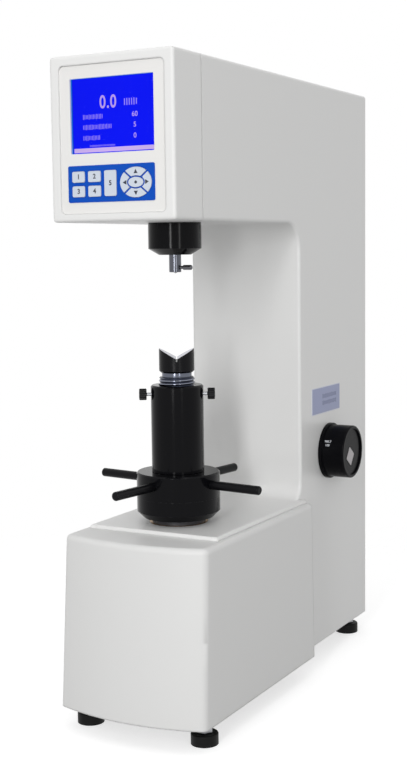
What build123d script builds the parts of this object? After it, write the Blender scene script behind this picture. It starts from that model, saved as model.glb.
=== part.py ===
from build123d import *
import math
import os

# Bench-top digital hardness tester with a C-shaped casting, dead-weight lever loading,
# a motor-driven heart cam and a hand-cranked elevating screw.
# Millimetres. +X is to the right seen from the operator, +Y to the rear, +Z up.
# The origin is on the bench, under the middle of the machine's bounding box.

# ---------------------------------------------------------------- driving dimensions

# overall
TOTAL_HEIGHT = 700.0
DEPTH = 500.0
BODY_WIDTH = 143.0
FITTING_PROUD = 1.5
EDGE_RADIUS = 3.5

# casting
CAST_WALL = 9.0
HEAD_HEIGHT = 163.7
HEAD_FLOOR = 12.0
COLUMN_SETBACK = 289.0
COLUMN_FRONT_WALL = 10.0
THROAT_RADIUS = 30.0
FOOT_COVE_RADIUS = 18.0
GROUND_CLEARANCE = 24.5
SOLE_THICKNESS = 12.0
REAR_RIM = 8.0
REAR_RIM_WIDTH = 17.5
TOP_RIM = 8.0
TOP_RIM_WIDTH = 21.0

# deck that carries the elevating screw
DECK_HEIGHT = 213.0
DECK_WIDTH = 156.0
DECK_SETBACK = 66.0
DECK_THICKNESS = 20.0
DECK_EDGE = 3.0
PLINTH_WALL = 10.0
PLINTH_WIDTH = 144.0
SOLE_WIDTH = 160.0
SOLE_SETBACK = 34.0

# base housing
HOUSING_WALL = 5.0
HOUSING_DECK_STEP = 4.0
HOUSING_WIDTH_TOP = 171.4
HOUSING_WIDTH_BOTTOM = 176.2
HOUSING_CORNER_TOP = 29.0
HOUSING_CORNER_BOTTOM = 17.0
HOUSING_BULGE = 15.9
HOUSING_CORNER_RADIUS = 8.0
HOUSING_EDGE = 6.0

# covers
LID_THICKNESS = 3.0
REAR_COVER_THICKNESS = 1.5
COVER_LAP = 10.0
COVER_SCREW_R = 2.0
COVER_SCREW_HEAD_R = 3.8
COVER_SCREW_HEAD = 1.2

# head bezel and front panel
BEZEL_DEPTH = 55.3
BEZEL_WALL = 4.0
BEZEL_LIP = 6.0
BEZEL_EDGE = 3.0
PANEL_MARGIN_SIDE = 10.8
PANEL_MARGIN_BOTTOM = 8.0
PANEL_MARGIN_TOP = 10.0
PANEL_RECESS = 1.5
PANEL_THICKNESS = 2.0
PANEL_CORNER = 5.0
LIP_OVERLAP = 3.5

# screen
SCREEN_WIDTH = 96.4
SCREEN_HEIGHT = 73.5
SCREEN_DROP = 59.75
SCREEN_CORNER = 1.0
PANE_THICKNESS = 1.2
PANE_OVERLAP = 2.3
MODULE_DEPTH = 8.0
MODULE_OVERLAP = 3.0
MODULE_CORNER = 1.5
MODULE_FRAME = 0.6

# keypad
OVERLAY_WIDTH = 100.6
OVERLAY_HEIGHT = 36.3
OVERLAY_OFFSET = -1.7
OVERLAY_DROP = 126.35
OVERLAY_THICKNESS = 0.5
OVERLAY_CORNER = 2.0
KEY_PROUD = 0.6
KEY_TRAVEL = 0.5
KEY_WIDTH = 14.7
KEY_HEIGHT = 10.7
KEY_CORNER = 1.6
KEY_COLUMNS = (-37.7, -18.9)
KEY_ROWS = (7.1, -7.3)
TALL_KEY_WIDTH = 13.9
TALL_KEY_HEIGHT = 25.1
TALL_KEY_X = -0.35
PAD_X = 28.9
PAD_RX = 17.9
PAD_RZ = 14.7
PAD_HOLE_RX = 10.2
PAD_HOLE_RZ = 6.4
PAD_SPLIT = 1.9
ENTER_RX = 8.5
ENTER_RZ = 4.9
KEY_GAP = 0.25
KEY_FLANGE = 0.6
KEY_FLANGE_THICKNESS = 1.0

# electronics behind the panel
BOARD_THICKNESS = 1.6
BOARD_GAP = 1.2
BOARD_MARGIN = 13.6
BOARD_INSET = 4.5
STANDOFF_R = 2.6
STANDOFF_INSET = 3.5
SWITCH_R = 2.2
CHIP_THICKNESS = 3.0
PROCESSOR_SIDE = 28.0
MEMORY_X = 30.0
MEMORY_WIDTH = 20.0
MEMORY_TALL = 12.0
TERMINAL_X = -15.0
TERMINAL_RISE = 16.0
TERMINAL_WIDTH = 50.0
TERMINAL_TALL = 8.0
TERMINAL_DEPTH = 9.0
CAPACITOR_COUNT = 3
CAPACITOR_R = 4.0
CAPACITOR_LENGTH = 11.0
CAPACITOR_X = -44.0
CAPACITOR_PITCH = 10.0
CAPACITOR_RISE = 20.0

# spindle
SPINDLE_SETBACK = 123.0
COVER_R = 28.5
COVER_DROP = 34.0
COVER_TAPER = 6.6
COVER_MOUTH_R = 17.3
COVER_WALL = 5.0
SPINDLE_R = 9.0
SPINDLE_STEP = 6.0
SPINDLE_STEP_TAPER = 2.5
NOSE_R = 6.5
NOSE_DROP = 52.6
NOSE_CHAMFER = 0.5
GUIDE_R = 16.0
GUIDE_BOSS_R = 25.0
GUIDE_FLANGE = 4.0
GUIDE_TOP = 48.0
INDENTER_SHANK_R = 3.175
INDENTER_SHANK = 18.0
INDENTER_TIP = 1.4
INDENTER_TIP_R = 2.4
CLAMP_RISE = 5.0
CLAMP_SHANK_R = 1.7
CLAMP_HEAD_R = 2.7
CLAMP_HEAD_LENGTH = 10.6
CLAMP_REACH = 20.4
CLAMP_HEAD_EDGE = 1.2

# lever, measured back from the spindle axis
LEVER_RISE = 65.7
LEVER_WIDTH = 30.0
LEVER_DEPTH_FRONT = 30.0
LEVER_DEPTH_REAR = 20.0
LEVER_NOSE = 34.0
FULCRUM_ARM = 18.0
WEIGHT_ARM = 262.0
LIFTER_ARM = 332.0
LEVER_TAIL = 14.0
LEVER_POCKET = 6.0
LEVER_FLANGE = 5.0
POCKET_FRONT_MARGIN = 12.0
POCKET_REAR_MARGIN = 24.0
KNIFE_HEIGHT = 5.0
KNIFE_HALF_ANGLE = 45.0
SEAT_HALF_ANGLE = 60.0
SEAT_LIP = 2.0
SEAT_DEPTH = 2.5
SEAT_PAD = 4.0
FULCRUM_HEIGHT = 24.0
FULCRUM_LENGTH = 24.0
LEDGE_WIDTH = 12.0
LEDGE_HEIGHT = 40.0
LEDGE_RISE = 3.0
FULCRUM_BOLT_R = 5.0
FULCRUM_BOLT = 4.0

# weights and hanger
WEIGHT_R = 52.5
WEIGHT_SHARES = (44.0, 38.0, 46.0)
WEIGHT_HEADROOM = 37.0
WEIGHT_BORE_R = 6.4
WEIGHT_EDGE = 2.0
HANGER_ROD_R = 6.0
HANGER_FLANGE_R = 30.0
HANGER_FLANGE = 6.0
STIRRUP_PLATE = 4.0
STIRRUP_LENGTH = 16.0
STIRRUP_SIDE_GAP = 3.0
STIRRUP_BAR = 10.0
STIRRUP_DROP = 14.0
WEIGHT_TRAVEL = 12.0
CATCH_GAP = 2.5
CATCH_THICKNESS = 6.0
CATCH_CLEARANCE = 8.0
CATCH_POST_R = 4.0
CATCH_POST_SPREAD = 46.0
CATCH_MARGIN = 6.0
CATCH_LEDGE = 6.5
CATCH_LEDGE_HEIGHT = 8.0
BUMPER_R = 8.0
BUMPER_HEIGHT = 5.0
BUMPER_COUNT = 3
BUMPER_PITCH_R = 18.0

# heart cam, lifter and motor
CAM_R_MAX = 34.0
CAM_WIDTH = 10.0
CAM_BORE_R = 5.0
CAM_HUB_R = 11.0
CAM_HUB = 3.0
LIFTER_R = 5.0
LIFTER_LENGTH = 46.0
CAM_GAP = 0.45
BRACKET_PLATE = 3.0
BRACKET_HALF = 30.0
BRACKET_FLANGE = 24.0
BRACKET_BORE_MARGIN = 2.0
GUIDE_BLOCK = 14.0
GUIDE_BLOCK_HALF = 10.0
GUIDE_BLOCK_REACH = 9.0
GUIDE_BLOCK_RISE = 2.0
MOTOR_R = 20.0
MOTOR_LENGTH = 36.0
GEARBOX_SIDE = 44.0
GEARBOX_LENGTH = 8.0
GEARBOX_EDGE = 4.0

# load selector
SELECTOR_SETBACK = 373.0
SELECTOR_HEIGHT = 259.5
SELECTOR_SHAFT_R = 7.0
KNOB_R = 32.0
KNOB_SKIRT_R = 34.0
KNOB_SKIRT = 4.0
KNOB_LENGTH = 31.6
KNOB_RECESS = 2.0
KNOB_RIM = 3.5
KNOB_EDGE = 1.5
SELECTOR_CAM_R = 20.0
SELECTOR_CAM_OFFSET = 4.0
SELECTOR_CAM_WIDTH = 8.0
SELECTOR_CAM_PITCH = 44.0
SELECTOR_BOSS_R = 14.0
SELECTOR_BOSS = 8.0

# elevating screw stack, from the deck upwards
BEARING_HEIGHT = 5.5
BEARING_R = 29.0
BEARING_BORE_R = 21.0
BALL_COUNT = 16
BALL_R = 1.5
WHEEL_R = 45.4
WHEEL_RING_HEIGHT = 22.2
WHEEL_HUB_HEIGHT = 27.3
WHEEL_CHAMFER = 7.0
WHEEL_EDGE = 1.5
WHEEL_CAP = 6.0
WHEEL_CAP_GAP = 1.0
NUT_R = 30.0
HANDLE_COUNT = 4
HANDLE_PHASE = 82.0
HANDLE_REACH = 107.0
HANDLE_R = 4.8
HANDLE_SOCKET = 12.0
HANDLE_RISE = 15.8
HANDLE_EDGE = 1.7
SCREW_R = 19.5
SCREW_TAIL = 141.0
SCREW_CHAMFER = 1.5
SCREW_CREST = 1.0
KEYWAY_WIDTH = 6.0
KEYWAY_DEPTH = 3.0
BUSH_R = 27.0
BUSH_LENGTH = 52.0
BUSH_FLANGE_R = 32.0
BUSH_FLANGE = 4.0
SLEEVE_R = 28.5
SLEEVE_BORE_R = 20.0
SLEEVE_LENGTH = 94.0
SLEEVE_EDGE = 1.5
THUMB_ANGLE = 29.7
THUMB_DROP = 10.2
THUMB_SHANK_R = 1.85
THUMB_HEAD_R = 6.3
THUMB_HEAD = 8.0
THUMB_STAND = 4.5
THUMB_LOBES = 6
THUMB_LOBE_R = 1.9
THUMB_FLUTE = 1.0
THUMB_EDGE = 0.7
NECK_R = 16.1
NECK_HEIGHT = 4.8
THREAD_SHOWN = 8.7
ANVIL_R = 19.0
ANVIL_HEIGHT = 25.3
ANVIL_STEM_R = 9.0
ANVIL_STEM = 22.0
ANVIL_CHAMFER = 1.8
VEE_HALF_ANGLE = 60.0
VEE_DEPTH = 10.4
VEE_RELIEF = 1.6
VEE_RELIEF_DEPTH = 2.4

# feet
FOOT_R = 14.5
FOOT_HEIGHT = 12.0
FOOT_EDGE = 1.5
FOOT_STUD_R = 5.0
FOOT_STUD = 22.0
FOOT_NUT_R = 9.0
FOOT_NUT = 5.0
FOOT_NUT_GAP = 1.0
FOOT_BOSS_R = 11.0
FOOT_BOSS = 12.0
FRONT_FEET_SPREAD = 70.0
FRONT_FEET_SETBACK = 47.0
REAR_FEET_SPREAD = 52.0
REAR_FEET_SETBACK = 478.0

# power entry on the rear
POWER_X = -30.0
POWER_HEIGHT = 112.0
POWER_WIDTH = 48.0
POWER_TALL = 62.0
POWER_FLANGE = 3.0
POWER_BODY_DEPTH = 26.0
SOCKET_WIDTH = 27.0
SOCKET_TALL = 19.5
SOCKET_DEPTH = 16.0
SOCKET_DROP = 15.0
PIN_LENGTH = 10.0
PIN_WIDTH = 4.0
PIN_THICKNESS = 2.0
PIN_PITCH = 7.0
EARTH_PIN_RISE = 2.0
POWER_CORNER = 4.0
SOCKET_CORNER = 3.0
ROCKER_WIDTH = 13.0
ROCKER_TALL = 19.0
ROCKER_RISE = 15.5
ROCKER_THICKNESS = 6.0
ROCKER_TILT = 8.0
ROCKER_PIVOT_R = 1.5
ROCKER_END_GAP = 0.4
ROCKER_DISH = 1.0
ROCKER_WELL = 14.0
ROCKER_CORNER = 1.0

# transformer
CORE_WIDTH = 76.0
CORE_LENGTH = 50.0
CORE_HEIGHT = 64.0
COIL_MARGIN = 12.0
COIL_BULGE = 12.0
COIL_EDGE = 5.0
TRANSFORMER_SETBACK = 395.0

# displacement sensor
SENSOR_R = 7.0
SENSOR_X = 33.0
SENSOR_HEIGHT = 30.0
SENSOR_TIP_R = 1.6
SENSOR_ARM = 4.0
SENSOR_TIP_GAP = 0.6
SENSOR_ARM_HALF = 5.0
SENSOR_ARM_GAP = 2.0
SENSOR_BASE_HALF = 11.0
SENSOR_BASE = 5.0

# clearances
CLEAR = 0.3
RUNNING = 0.05

# ---------------------------------------------------------------- derived places

FRONT_Y = -DEPTH / 2
REAR_Y = DEPTH / 2
CAST_REAR_Y = REAR_Y - FITTING_PROUD
HALF = BODY_WIDTH / 2
INNER = HALF - CAST_WALL
HEAD_Z = TOTAL_HEIGHT - HEAD_HEIGHT
FLOOR_Z = HEAD_Z + HEAD_FLOOR
SEAM_Y = FRONT_Y + BEZEL_DEPTH + CLEAR
COLUMN_Y = FRONT_Y + COLUMN_SETBACK
COLUMN_INNER_Y = COLUMN_Y + COLUMN_FRONT_WALL
SOLE_Z = GROUND_CLEARANCE + SOLE_THICKNESS
HOUSING_HEIGHT = DECK_HEIGHT - HOUSING_DECK_STEP
LID_Z = TOTAL_HEIGHT - LID_THICKNESS
CAVITY_TOP = LID_Z - TOP_RIM
COVER_Y = CAST_REAR_Y - REAR_COVER_THICKNESS
CAVITY_REAR_Y = COVER_Y - REAR_RIM
DECK_Y = FRONT_Y + DECK_SETBACK
SPINDLE_Y = FRONT_Y + SPINDLE_SETBACK

PANEL_HALF = HALF - PANEL_MARGIN_SIDE
PANEL_LOW = HEAD_Z + PANEL_MARGIN_BOTTOM
PANEL_HIGH = TOTAL_HEIGHT - PANEL_MARGIN_TOP
PANEL_Y = FRONT_Y + PANEL_RECESS
PANEL_BACK_Y = PANEL_Y + PANEL_THICKNESS
PANE_Y = PANEL_BACK_Y + CLEAR
MODULE_Y = PANE_Y + PANE_THICKNESS + CLEAR
BOARD_Y = MODULE_Y + MODULE_DEPTH + BOARD_GAP
SCREEN_Z = TOTAL_HEIGHT - SCREEN_DROP
OVERLAY_Z = TOTAL_HEIGHT - OVERLAY_DROP
KEY_FACE_Y = PANEL_Y - OVERLAY_THICKNESS - KEY_PROUD
KEY_FLANGE_Y = PANEL_BACK_Y + CLEAR
KEY_BACK_Y = KEY_FLANGE_Y + KEY_FLANGE_THICKNESS

COVER_Z = HEAD_Z - COVER_DROP
NOSE_Z = HEAD_Z - NOSE_DROP
TIP_Z = NOSE_Z - INDENTER_TIP
CLAMP_Z = NOSE_Z + CLAMP_RISE
GUIDE_Z = HEAD_Z + GUIDE_TOP

LEVER_Z = HEAD_Z + LEVER_RISE
SPINDLE_TOP = LEVER_Z - KNIFE_HEIGHT - CLEAR
FULCRUM_Y = SPINDLE_Y - FULCRUM_ARM
WEIGHT_Y = SPINDLE_Y + WEIGHT_ARM
LIFTER_Y = SPINDLE_Y + LIFTER_ARM
LEVER_FRONT_Y = SPINDLE_Y - LEVER_NOSE
LEVER_REAR_Y = LIFTER_Y + LEVER_TAIL
LEVER_SHOULDER_Y = SPINDLE_Y + LEVER_NOSE
LEVER_TOP = LEVER_Z + LEVER_DEPTH_FRONT
FULCRUM_Z = LEVER_TOP + KNIFE_HEIGHT + CLEAR
LEDGE_Z = FULCRUM_Z + LEDGE_RISE

# travel of each member when the weights come down by WEIGHT_TRAVEL
LEVER_TILT = math.asin(WEIGHT_TRAVEL / (WEIGHT_ARM + FULCRUM_ARM))
SPINDLE_TRAVEL = FULCRUM_ARM * math.sin(LEVER_TILT)
LIFTER_TRAVEL = (LIFTER_ARM + FULCRUM_ARM) * math.sin(LEVER_TILT)

CAM_R_MIN = CAM_R_MAX - LIFTER_TRAVEL
LIFTER_TOP = LEVER_Z - CLEAR
LIFTER_FOOT = LIFTER_TOP - LIFTER_LENGTH
CAM_Z = LIFTER_FOOT - CAM_GAP - CAM_R_MAX

CATCH_HEIGHT = SELECTOR_HEIGHT + SELECTOR_CAM_R + SELECTOR_CAM_OFFSET + CATCH_GAP
CATCH_TOP = CATCH_HEIGHT + CATCH_THICKNESS
HANGER_LOW = CATCH_TOP + CATCH_CLEARANCE + WEIGHT_TRAVEL
WEIGHT_LOW = HANGER_LOW + HANGER_FLANGE + CLEAR
BRACKET_Z = CAM_Z - CAM_R_MAX - BRACKET_PLATE
WEIGHT_TOP = BRACKET_Z - WEIGHT_HEADROOM
WEIGHT_IRON = WEIGHT_TOP - WEIGHT_LOW - CLEAR * (len(WEIGHT_SHARES) - 1)
WEIGHT_HEIGHTS = tuple(WEIGHT_IRON * share / sum(WEIGHT_SHARES) for share in WEIGHT_SHARES)

SELECTOR_Y = FRONT_Y + SELECTOR_SETBACK

WHEEL_Z = DECK_HEIGHT + BEARING_HEIGHT + CLEAR
HUB_Z = WHEEL_Z + WHEEL_RING_HEIGHT
HUB_TOP = HUB_Z + WHEEL_HUB_HEIGHT
HANDLE_Z = HUB_Z + HANDLE_RISE
SLEEVE_Z = HUB_TOP + CLEAR
SLEEVE_TOP = SLEEVE_Z + SLEEVE_LENGTH
THUMB_Z = SLEEVE_TOP - THUMB_DROP
NECK_Z = SLEEVE_TOP + THREAD_SHOWN
SCREW_TOP = NECK_Z + NECK_HEIGHT
SCREW_LOW = DECK_HEIGHT - SCREW_TAIL
ANVIL_Z = SCREW_TOP + 2 * RUNNING
ANVIL_TOP = ANVIL_Z + ANVIL_HEIGHT
BUSH_Z = DECK_HEIGHT - BUSH_FLANGE - BUSH_LENGTH

FEET = (
    ("foot_front_left", -FRONT_FEET_SPREAD, FRONT_Y + FRONT_FEET_SETBACK),
    ("foot_front_right", FRONT_FEET_SPREAD, FRONT_Y + FRONT_FEET_SETBACK),
    ("foot_rear_left", -REAR_FEET_SPREAD, FRONT_Y + REAR_FEET_SETBACK),
    ("foot_rear_right", REAR_FEET_SPREAD, FRONT_Y + REAR_FEET_SETBACK),
)

# ---------------------------------------------------------------- helpers


def block(x0, x1, y0, y1, z0, z1):
    """Box between two corners."""
    box = Box(x1 - x0, y1 - y0, z1 - z0, align=(Align.MIN, Align.MIN, Align.MIN))
    return Pos(x0, y0, z0) * box


def rod_z(radius, x, y, z0, z1):
    """Upright cylinder."""
    return Pos(x, y, z0) * Cylinder(radius, z1 - z0, align=(Align.CENTER, Align.CENTER, Align.MIN))


def rod_x(radius, y, z, x0, x1):
    """Cylinder along X."""
    bar = Cylinder(radius, x1 - x0, align=(Align.CENTER, Align.CENTER, Align.MIN))
    return Pos(x0, y, z) * Rot(0, 90, 0) * bar


def rod_y(radius, x, z, y0, y1):
    """Cylinder along Y."""
    bar = Cylinder(radius, y1 - y0, align=(Align.CENTER, Align.CENTER, Align.MIN))
    return Pos(x, y0, z) * Rot(-90, 0, 0) * bar


def plate_y(sketch, y0, y1):
    """Plate from a sketch drawn as (x, z), between two depths."""
    return Pos(0, y0, 0) * extrude(Plane.XZ * sketch, amount=-(y1 - y0))


def side_profile(points):
    """Closed face in the YZ plane from (y, z) points."""
    return make_face(Polyline(*points, close=True))


def turned(points, y):
    """Solid of revolution about the upright axis at depth y, from (radius, z) points."""
    face = make_face(Polyline(*points, close=True))
    return Pos(0, y, 0) * revolve(Plane.XZ * face, Axis.Z)


def prism_x(points, half):
    """Prism along X, centred, from (y, z) points."""
    return extrude(Plane.YZ * side_profile(points), amount=half, both=True)


def edges_on_sides(shape, x):
    """Edges that lie wholly in the planes at +x and -x."""
    found = []
    for edge in shape.edges():
        box = edge.bounding_box()
        if abs(abs(box.min.X) - x) < 0.01 and abs(box.max.X - box.min.X) < 0.01:
            found.append(edge)
    return found


# ---------------------------------------------------------------- casting


def casting_outside():
    """C-shaped body: head arm, column and toe, with coved inner corners."""
    profile = side_profile([
        (SEAM_Y, HEAD_Z), (COLUMN_Y, HEAD_Z), (COLUMN_Y, DECK_HEIGHT), (DECK_Y, DECK_HEIGHT),
        (DECK_Y, GROUND_CLEARANCE), (CAST_REAR_Y, GROUND_CLEARANCE),
        (CAST_REAR_Y, TOTAL_HEIGHT), (SEAM_Y, TOTAL_HEIGHT)])
    throat = [v for v in profile.vertices() if abs(v.X - COLUMN_Y) < 0.01 and abs(v.Y - HEAD_Z) < 0.01]
    profile = fillet(throat, THROAT_RADIUS)
    cove = [v for v in profile.vertices() if abs(v.X - COLUMN_Y) < 0.01 and abs(v.Y - DECK_HEIGHT) < 0.01]
    profile = fillet(cove, FOOT_COVE_RADIUS)
    body = extrude(Plane.YZ * profile, amount=HALF, both=True)
    soft = []
    for edge in edges_on_sides(body, HALF):
        box = edge.bounding_box()
        at_seam = abs(box.max.Y - SEAM_Y) < 0.01
        at_sole = box.max.Z < DECK_HEIGHT - 0.01 and box.max.Y - box.min.Y > 1
        at_toe = abs(box.max.Y - DECK_Y) < 0.01
        if not (at_seam or at_sole or at_toe):
            soft.append(edge)
    for edge in body.edges().filter_by(Axis.X):
        if abs(edge.center().Z - TOTAL_HEIGHT) < 0.01 and abs(edge.center().Y - CAST_REAR_Y) < 0.01:
            soft.append(edge)
    return fillet(soft, EDGE_RADIUS)


def casting_cavity():
    """Inside of the head and column, open to the front of the head, the top and the rear."""
    main = prism_x([
        (SEAM_Y - 1, FLOOR_Z), (COLUMN_INNER_Y, FLOOR_Z), (COLUMN_INNER_Y, SOLE_Z),
        (CAVITY_REAR_Y, SOLE_Z), (CAVITY_REAR_Y, CAVITY_TOP), (SEAM_Y - 1, CAVITY_TOP)], INNER)
    rear_half = HALF - REAR_RIM_WIDTH
    rear_mouth = block(-rear_half, rear_half, CAVITY_REAR_Y - 1, CAST_REAR_Y + 1,
                       SOLE_Z + REAR_RIM_WIDTH, CAVITY_TOP - REAR_RIM_WIDTH)
    top_half = HALF - TOP_RIM_WIDTH
    top_mouth = block(-top_half, top_half, SEAM_Y + TOP_RIM_WIDTH, CAVITY_REAR_Y - TOP_RIM_WIDTH / 2,
                      CAVITY_TOP - 1, TOTAL_HEIGHT + 1)
    return main + rear_mouth + top_mouth


def cover_outlines():
    """Half width, low and high limits of the rear cover, then those of the lid along Y."""
    rear = (HALF - REAR_RIM_WIDTH + COVER_LAP, SOLE_Z + REAR_RIM_WIDTH - COVER_LAP,
            CAVITY_TOP - REAR_RIM_WIDTH + COVER_LAP)
    lid = (HALF - TOP_RIM_WIDTH + COVER_LAP, SEAM_Y + TOP_RIM_WIDTH - COVER_LAP,
           CAVITY_REAR_Y - TOP_RIM_WIDTH / 2 + COVER_LAP)
    return rear, lid


def frame_casting():
    """Cast iron frame with deck, toe, spindle boss, ledges and foot bosses."""
    body = casting_outside()
    deck_low = DECK_HEIGHT - DECK_THICKNESS
    deck = block(-DECK_WIDTH / 2, DECK_WIDTH / 2, DECK_Y, COLUMN_Y, deck_low, DECK_HEIGHT)
    rim = [e for e in deck.edges() if e.center().Z > DECK_HEIGHT - 0.01 and e.center().Y < COLUMN_Y - 0.01]
    body += fillet(rim, DECK_EDGE)
    sole_half = SOLE_WIDTH / 2
    body += block(-sole_half, sole_half, FRONT_Y + SOLE_SETBACK, COLUMN_Y, GROUND_CLEARANCE, SOLE_Z)
    body -= casting_cavity()
    # hollow under the deck, open downwards
    plinth = PLINTH_WIDTH / 2 - PLINTH_WALL
    body -= block(-plinth, plinth, DECK_Y + PLINTH_WALL, COLUMN_Y,
                  GROUND_CLEARANCE - 1, deck_low)
    # pockets for the flush covers
    rear, lid = cover_outlines()
    body -= block(-rear[0] - CLEAR, rear[0] + CLEAR, COVER_Y, CAST_REAR_Y + 1,
                  rear[1] - CLEAR, rear[2] + CLEAR)
    body -= block(-lid[0] - CLEAR, lid[0] + CLEAR, lid[1] - CLEAR, lid[2] + CLEAR, LID_Z, TOTAL_HEIGHT + 1)
    # spindle boss and bore
    body += rod_z(GUIDE_BOSS_R, 0, SPINDLE_Y, HEAD_Z + 1, GUIDE_Z - GUIDE_FLANGE)
    body -= rod_z(GUIDE_R, 0, SPINDLE_Y, HEAD_Z - 1, GUIDE_Z)
    # ledges for the fulcrum block and the catch plate
    for side in (-1, 1):
        inner, outer = sorted((side * (INNER - LEDGE_WIDTH), side * (INNER + 1)))
        body += block(inner, outer, FULCRUM_Y - FULCRUM_LENGTH / 2, FULCRUM_Y + FULCRUM_LENGTH / 2,
                      LEDGE_Z - LEDGE_HEIGHT, LEDGE_Z)
        inner, outer = sorted((side * (INNER - CATCH_LEDGE), side * (INNER + 1)))
        body += block(inner, outer, WEIGHT_Y - WEIGHT_R, WEIGHT_Y + WEIGHT_R,
                      CATCH_HEIGHT - CATCH_LEDGE_HEIGHT, CATCH_HEIGHT)
    # selector shaft bearings
    body += rod_x(SELECTOR_BOSS_R, SELECTOR_Y, SELECTOR_HEIGHT, INNER - SELECTOR_BOSS, INNER + 1)
    body += rod_x(SELECTOR_BOSS_R, SELECTOR_Y, SELECTOR_HEIGHT, -INNER - 1, SELECTOR_BOSS - INNER)
    body -= rod_x(SELECTOR_SHAFT_R + RUNNING, SELECTOR_Y, SELECTOR_HEIGHT, -INNER, HALF + 1)
    # seat of the screw bush in the deck
    body -= rod_z(BUSH_R, 0, SPINDLE_Y, deck_low - 1, DECK_HEIGHT + 1)
    body -= rod_z(BUSH_FLANGE_R, 0, SPINDLE_Y, DECK_HEIGHT - BUSH_FLANGE, DECK_HEIGHT + 1)
    # bosses for the levelling feet
    for _, x, y in FEET:
        body += rod_z(FOOT_BOSS_R, x, y, GROUND_CLEARANCE, SOLE_Z + FOOT_BOSS) & block(
            -sole_half, sole_half, FRONT_Y, CAVITY_REAR_Y + 1, GROUND_CLEARANCE, SOLE_Z + FOOT_BOSS)
        body -= rod_z(FOOT_STUD_R + RUNNING, x, y, GROUND_CLEARANCE - 1, SOLE_Z + FOOT_BOSS + 1)
    # tapped holes under the cover screws
    for place in cover_screw_places():
        body -= place * Cylinder(COVER_SCREW_R + RUNNING, 2 * REAR_RIM)
    return body


def cover_screw_places():
    """Locations of the cover screws, each with its local +Z pointing out of the machine."""
    rear, lid = cover_outlines()
    inset = COVER_LAP / 2
    places = []
    for x in (inset - rear[0], rear[0] - inset):
        for z in (rear[1] + inset, (rear[1] + rear[2]) / 2, rear[2] - inset):
            places.append(Pos(x, CAST_REAR_Y, z) * Rot(-90, 0, 0))
    for x in (inset - lid[0], lid[0] - inset):
        for y in (lid[1] + inset, lid[2] - inset):
            places.append(Pos(x, y, TOTAL_HEIGHT))
    return places


def cover_screws():
    """Countersunk screws of the rear cover and the lid."""
    sunk = (REAR_RIM + COVER_SCREW_HEAD) / 2
    shank = Pos(0, 0, -sunk) * Cylinder(COVER_SCREW_R, REAR_RIM - COVER_SCREW_HEAD)
    head = Pos(0, 0, -COVER_SCREW_HEAD / 2) * Cone(COVER_SCREW_R, COVER_SCREW_HEAD_R, COVER_SCREW_HEAD)
    recess = Pos(0, 0, -COVER_SCREW_HEAD / 4) * Cylinder(COVER_SCREW_R / 2, COVER_SCREW_HEAD / 2)
    screw = shank + head - recess
    return [place * screw for place in cover_screw_places()]


def screw_countersinks():
    """Cutters for the cover screws."""
    cone = Pos(0, 0, -COVER_SCREW_HEAD / 2) * Cone(
        COVER_SCREW_R + RUNNING, COVER_SCREW_HEAD_R + RUNNING, COVER_SCREW_HEAD)
    drill = Cylinder(COVER_SCREW_R + RUNNING, 2 * REAR_RIM)
    return [place * (cone + drill) for place in cover_screw_places()]


def top_cover():
    """Flush lid over the lever space."""
    lid = cover_outlines()[1]
    plate = block(-lid[0], lid[0], lid[1], lid[2], LID_Z, TOTAL_HEIGHT)
    return plate - screw_countersinks()


def rear_cover():
    """Flush sheet over the rear of the column, cut out for the power entry."""
    rear = cover_outlines()[0]
    sheet = block(-rear[0], rear[0], COVER_Y, CAST_REAR_Y, rear[1], rear[2])
    half, tall = POWER_WIDTH / 2 - POWER_FLANGE, POWER_TALL / 2 - POWER_FLANGE
    sheet -= block(POWER_X - half, POWER_X + half, COVER_Y - 1, CAST_REAR_Y + 1,
                   POWER_HEIGHT - tall, POWER_HEIGHT + tall)
    return sheet - screw_countersinks()


# ---------------------------------------------------------------- head bezel and panel


def rounded(width, height, radius, x, z):
    """Rounded rectangle sketch centred at (x, z)."""
    return Pos(x, z) * RectangleRounded(width, height, radius)


def head_bezel():
    """Moulded front of the head: a hollow box with a stepped window for the panel."""
    outer = block(-HALF, HALF, FRONT_Y, FRONT_Y + BEZEL_DEPTH, HEAD_Z, TOTAL_HEIGHT)
    lengthwise = outer.edges().filter_by(Axis.Y)
    outer = fillet(lengthwise, EDGE_RADIUS)
    front = [e for e in outer.edges() if e.bounding_box().max.Y < FRONT_Y + 0.01]
    outer = fillet(front, BEZEL_EDGE)
    inside = block(BEZEL_WALL - HALF, HALF - BEZEL_WALL, FRONT_Y + BEZEL_LIP, FRONT_Y + BEZEL_DEPTH + 1,
                   HEAD_Z + BEZEL_WALL, TOTAL_HEIGHT - BEZEL_WALL)
    mid_z, tall = (PANEL_LOW + PANEL_HIGH) / 2, PANEL_HIGH - PANEL_LOW
    pocket = rounded(2 * PANEL_HALF, tall, PANEL_CORNER, 0, mid_z)
    window = rounded(2 * (PANEL_HALF - LIP_OVERLAP), tall - 2 * LIP_OVERLAP, PANEL_CORNER, 0, mid_z)
    outer -= inside
    outer -= plate_y(pocket, FRONT_Y - 1, PANEL_BACK_Y)
    return outer - plate_y(window, FRONT_Y, FRONT_Y + BEZEL_LIP + 1)


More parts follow.
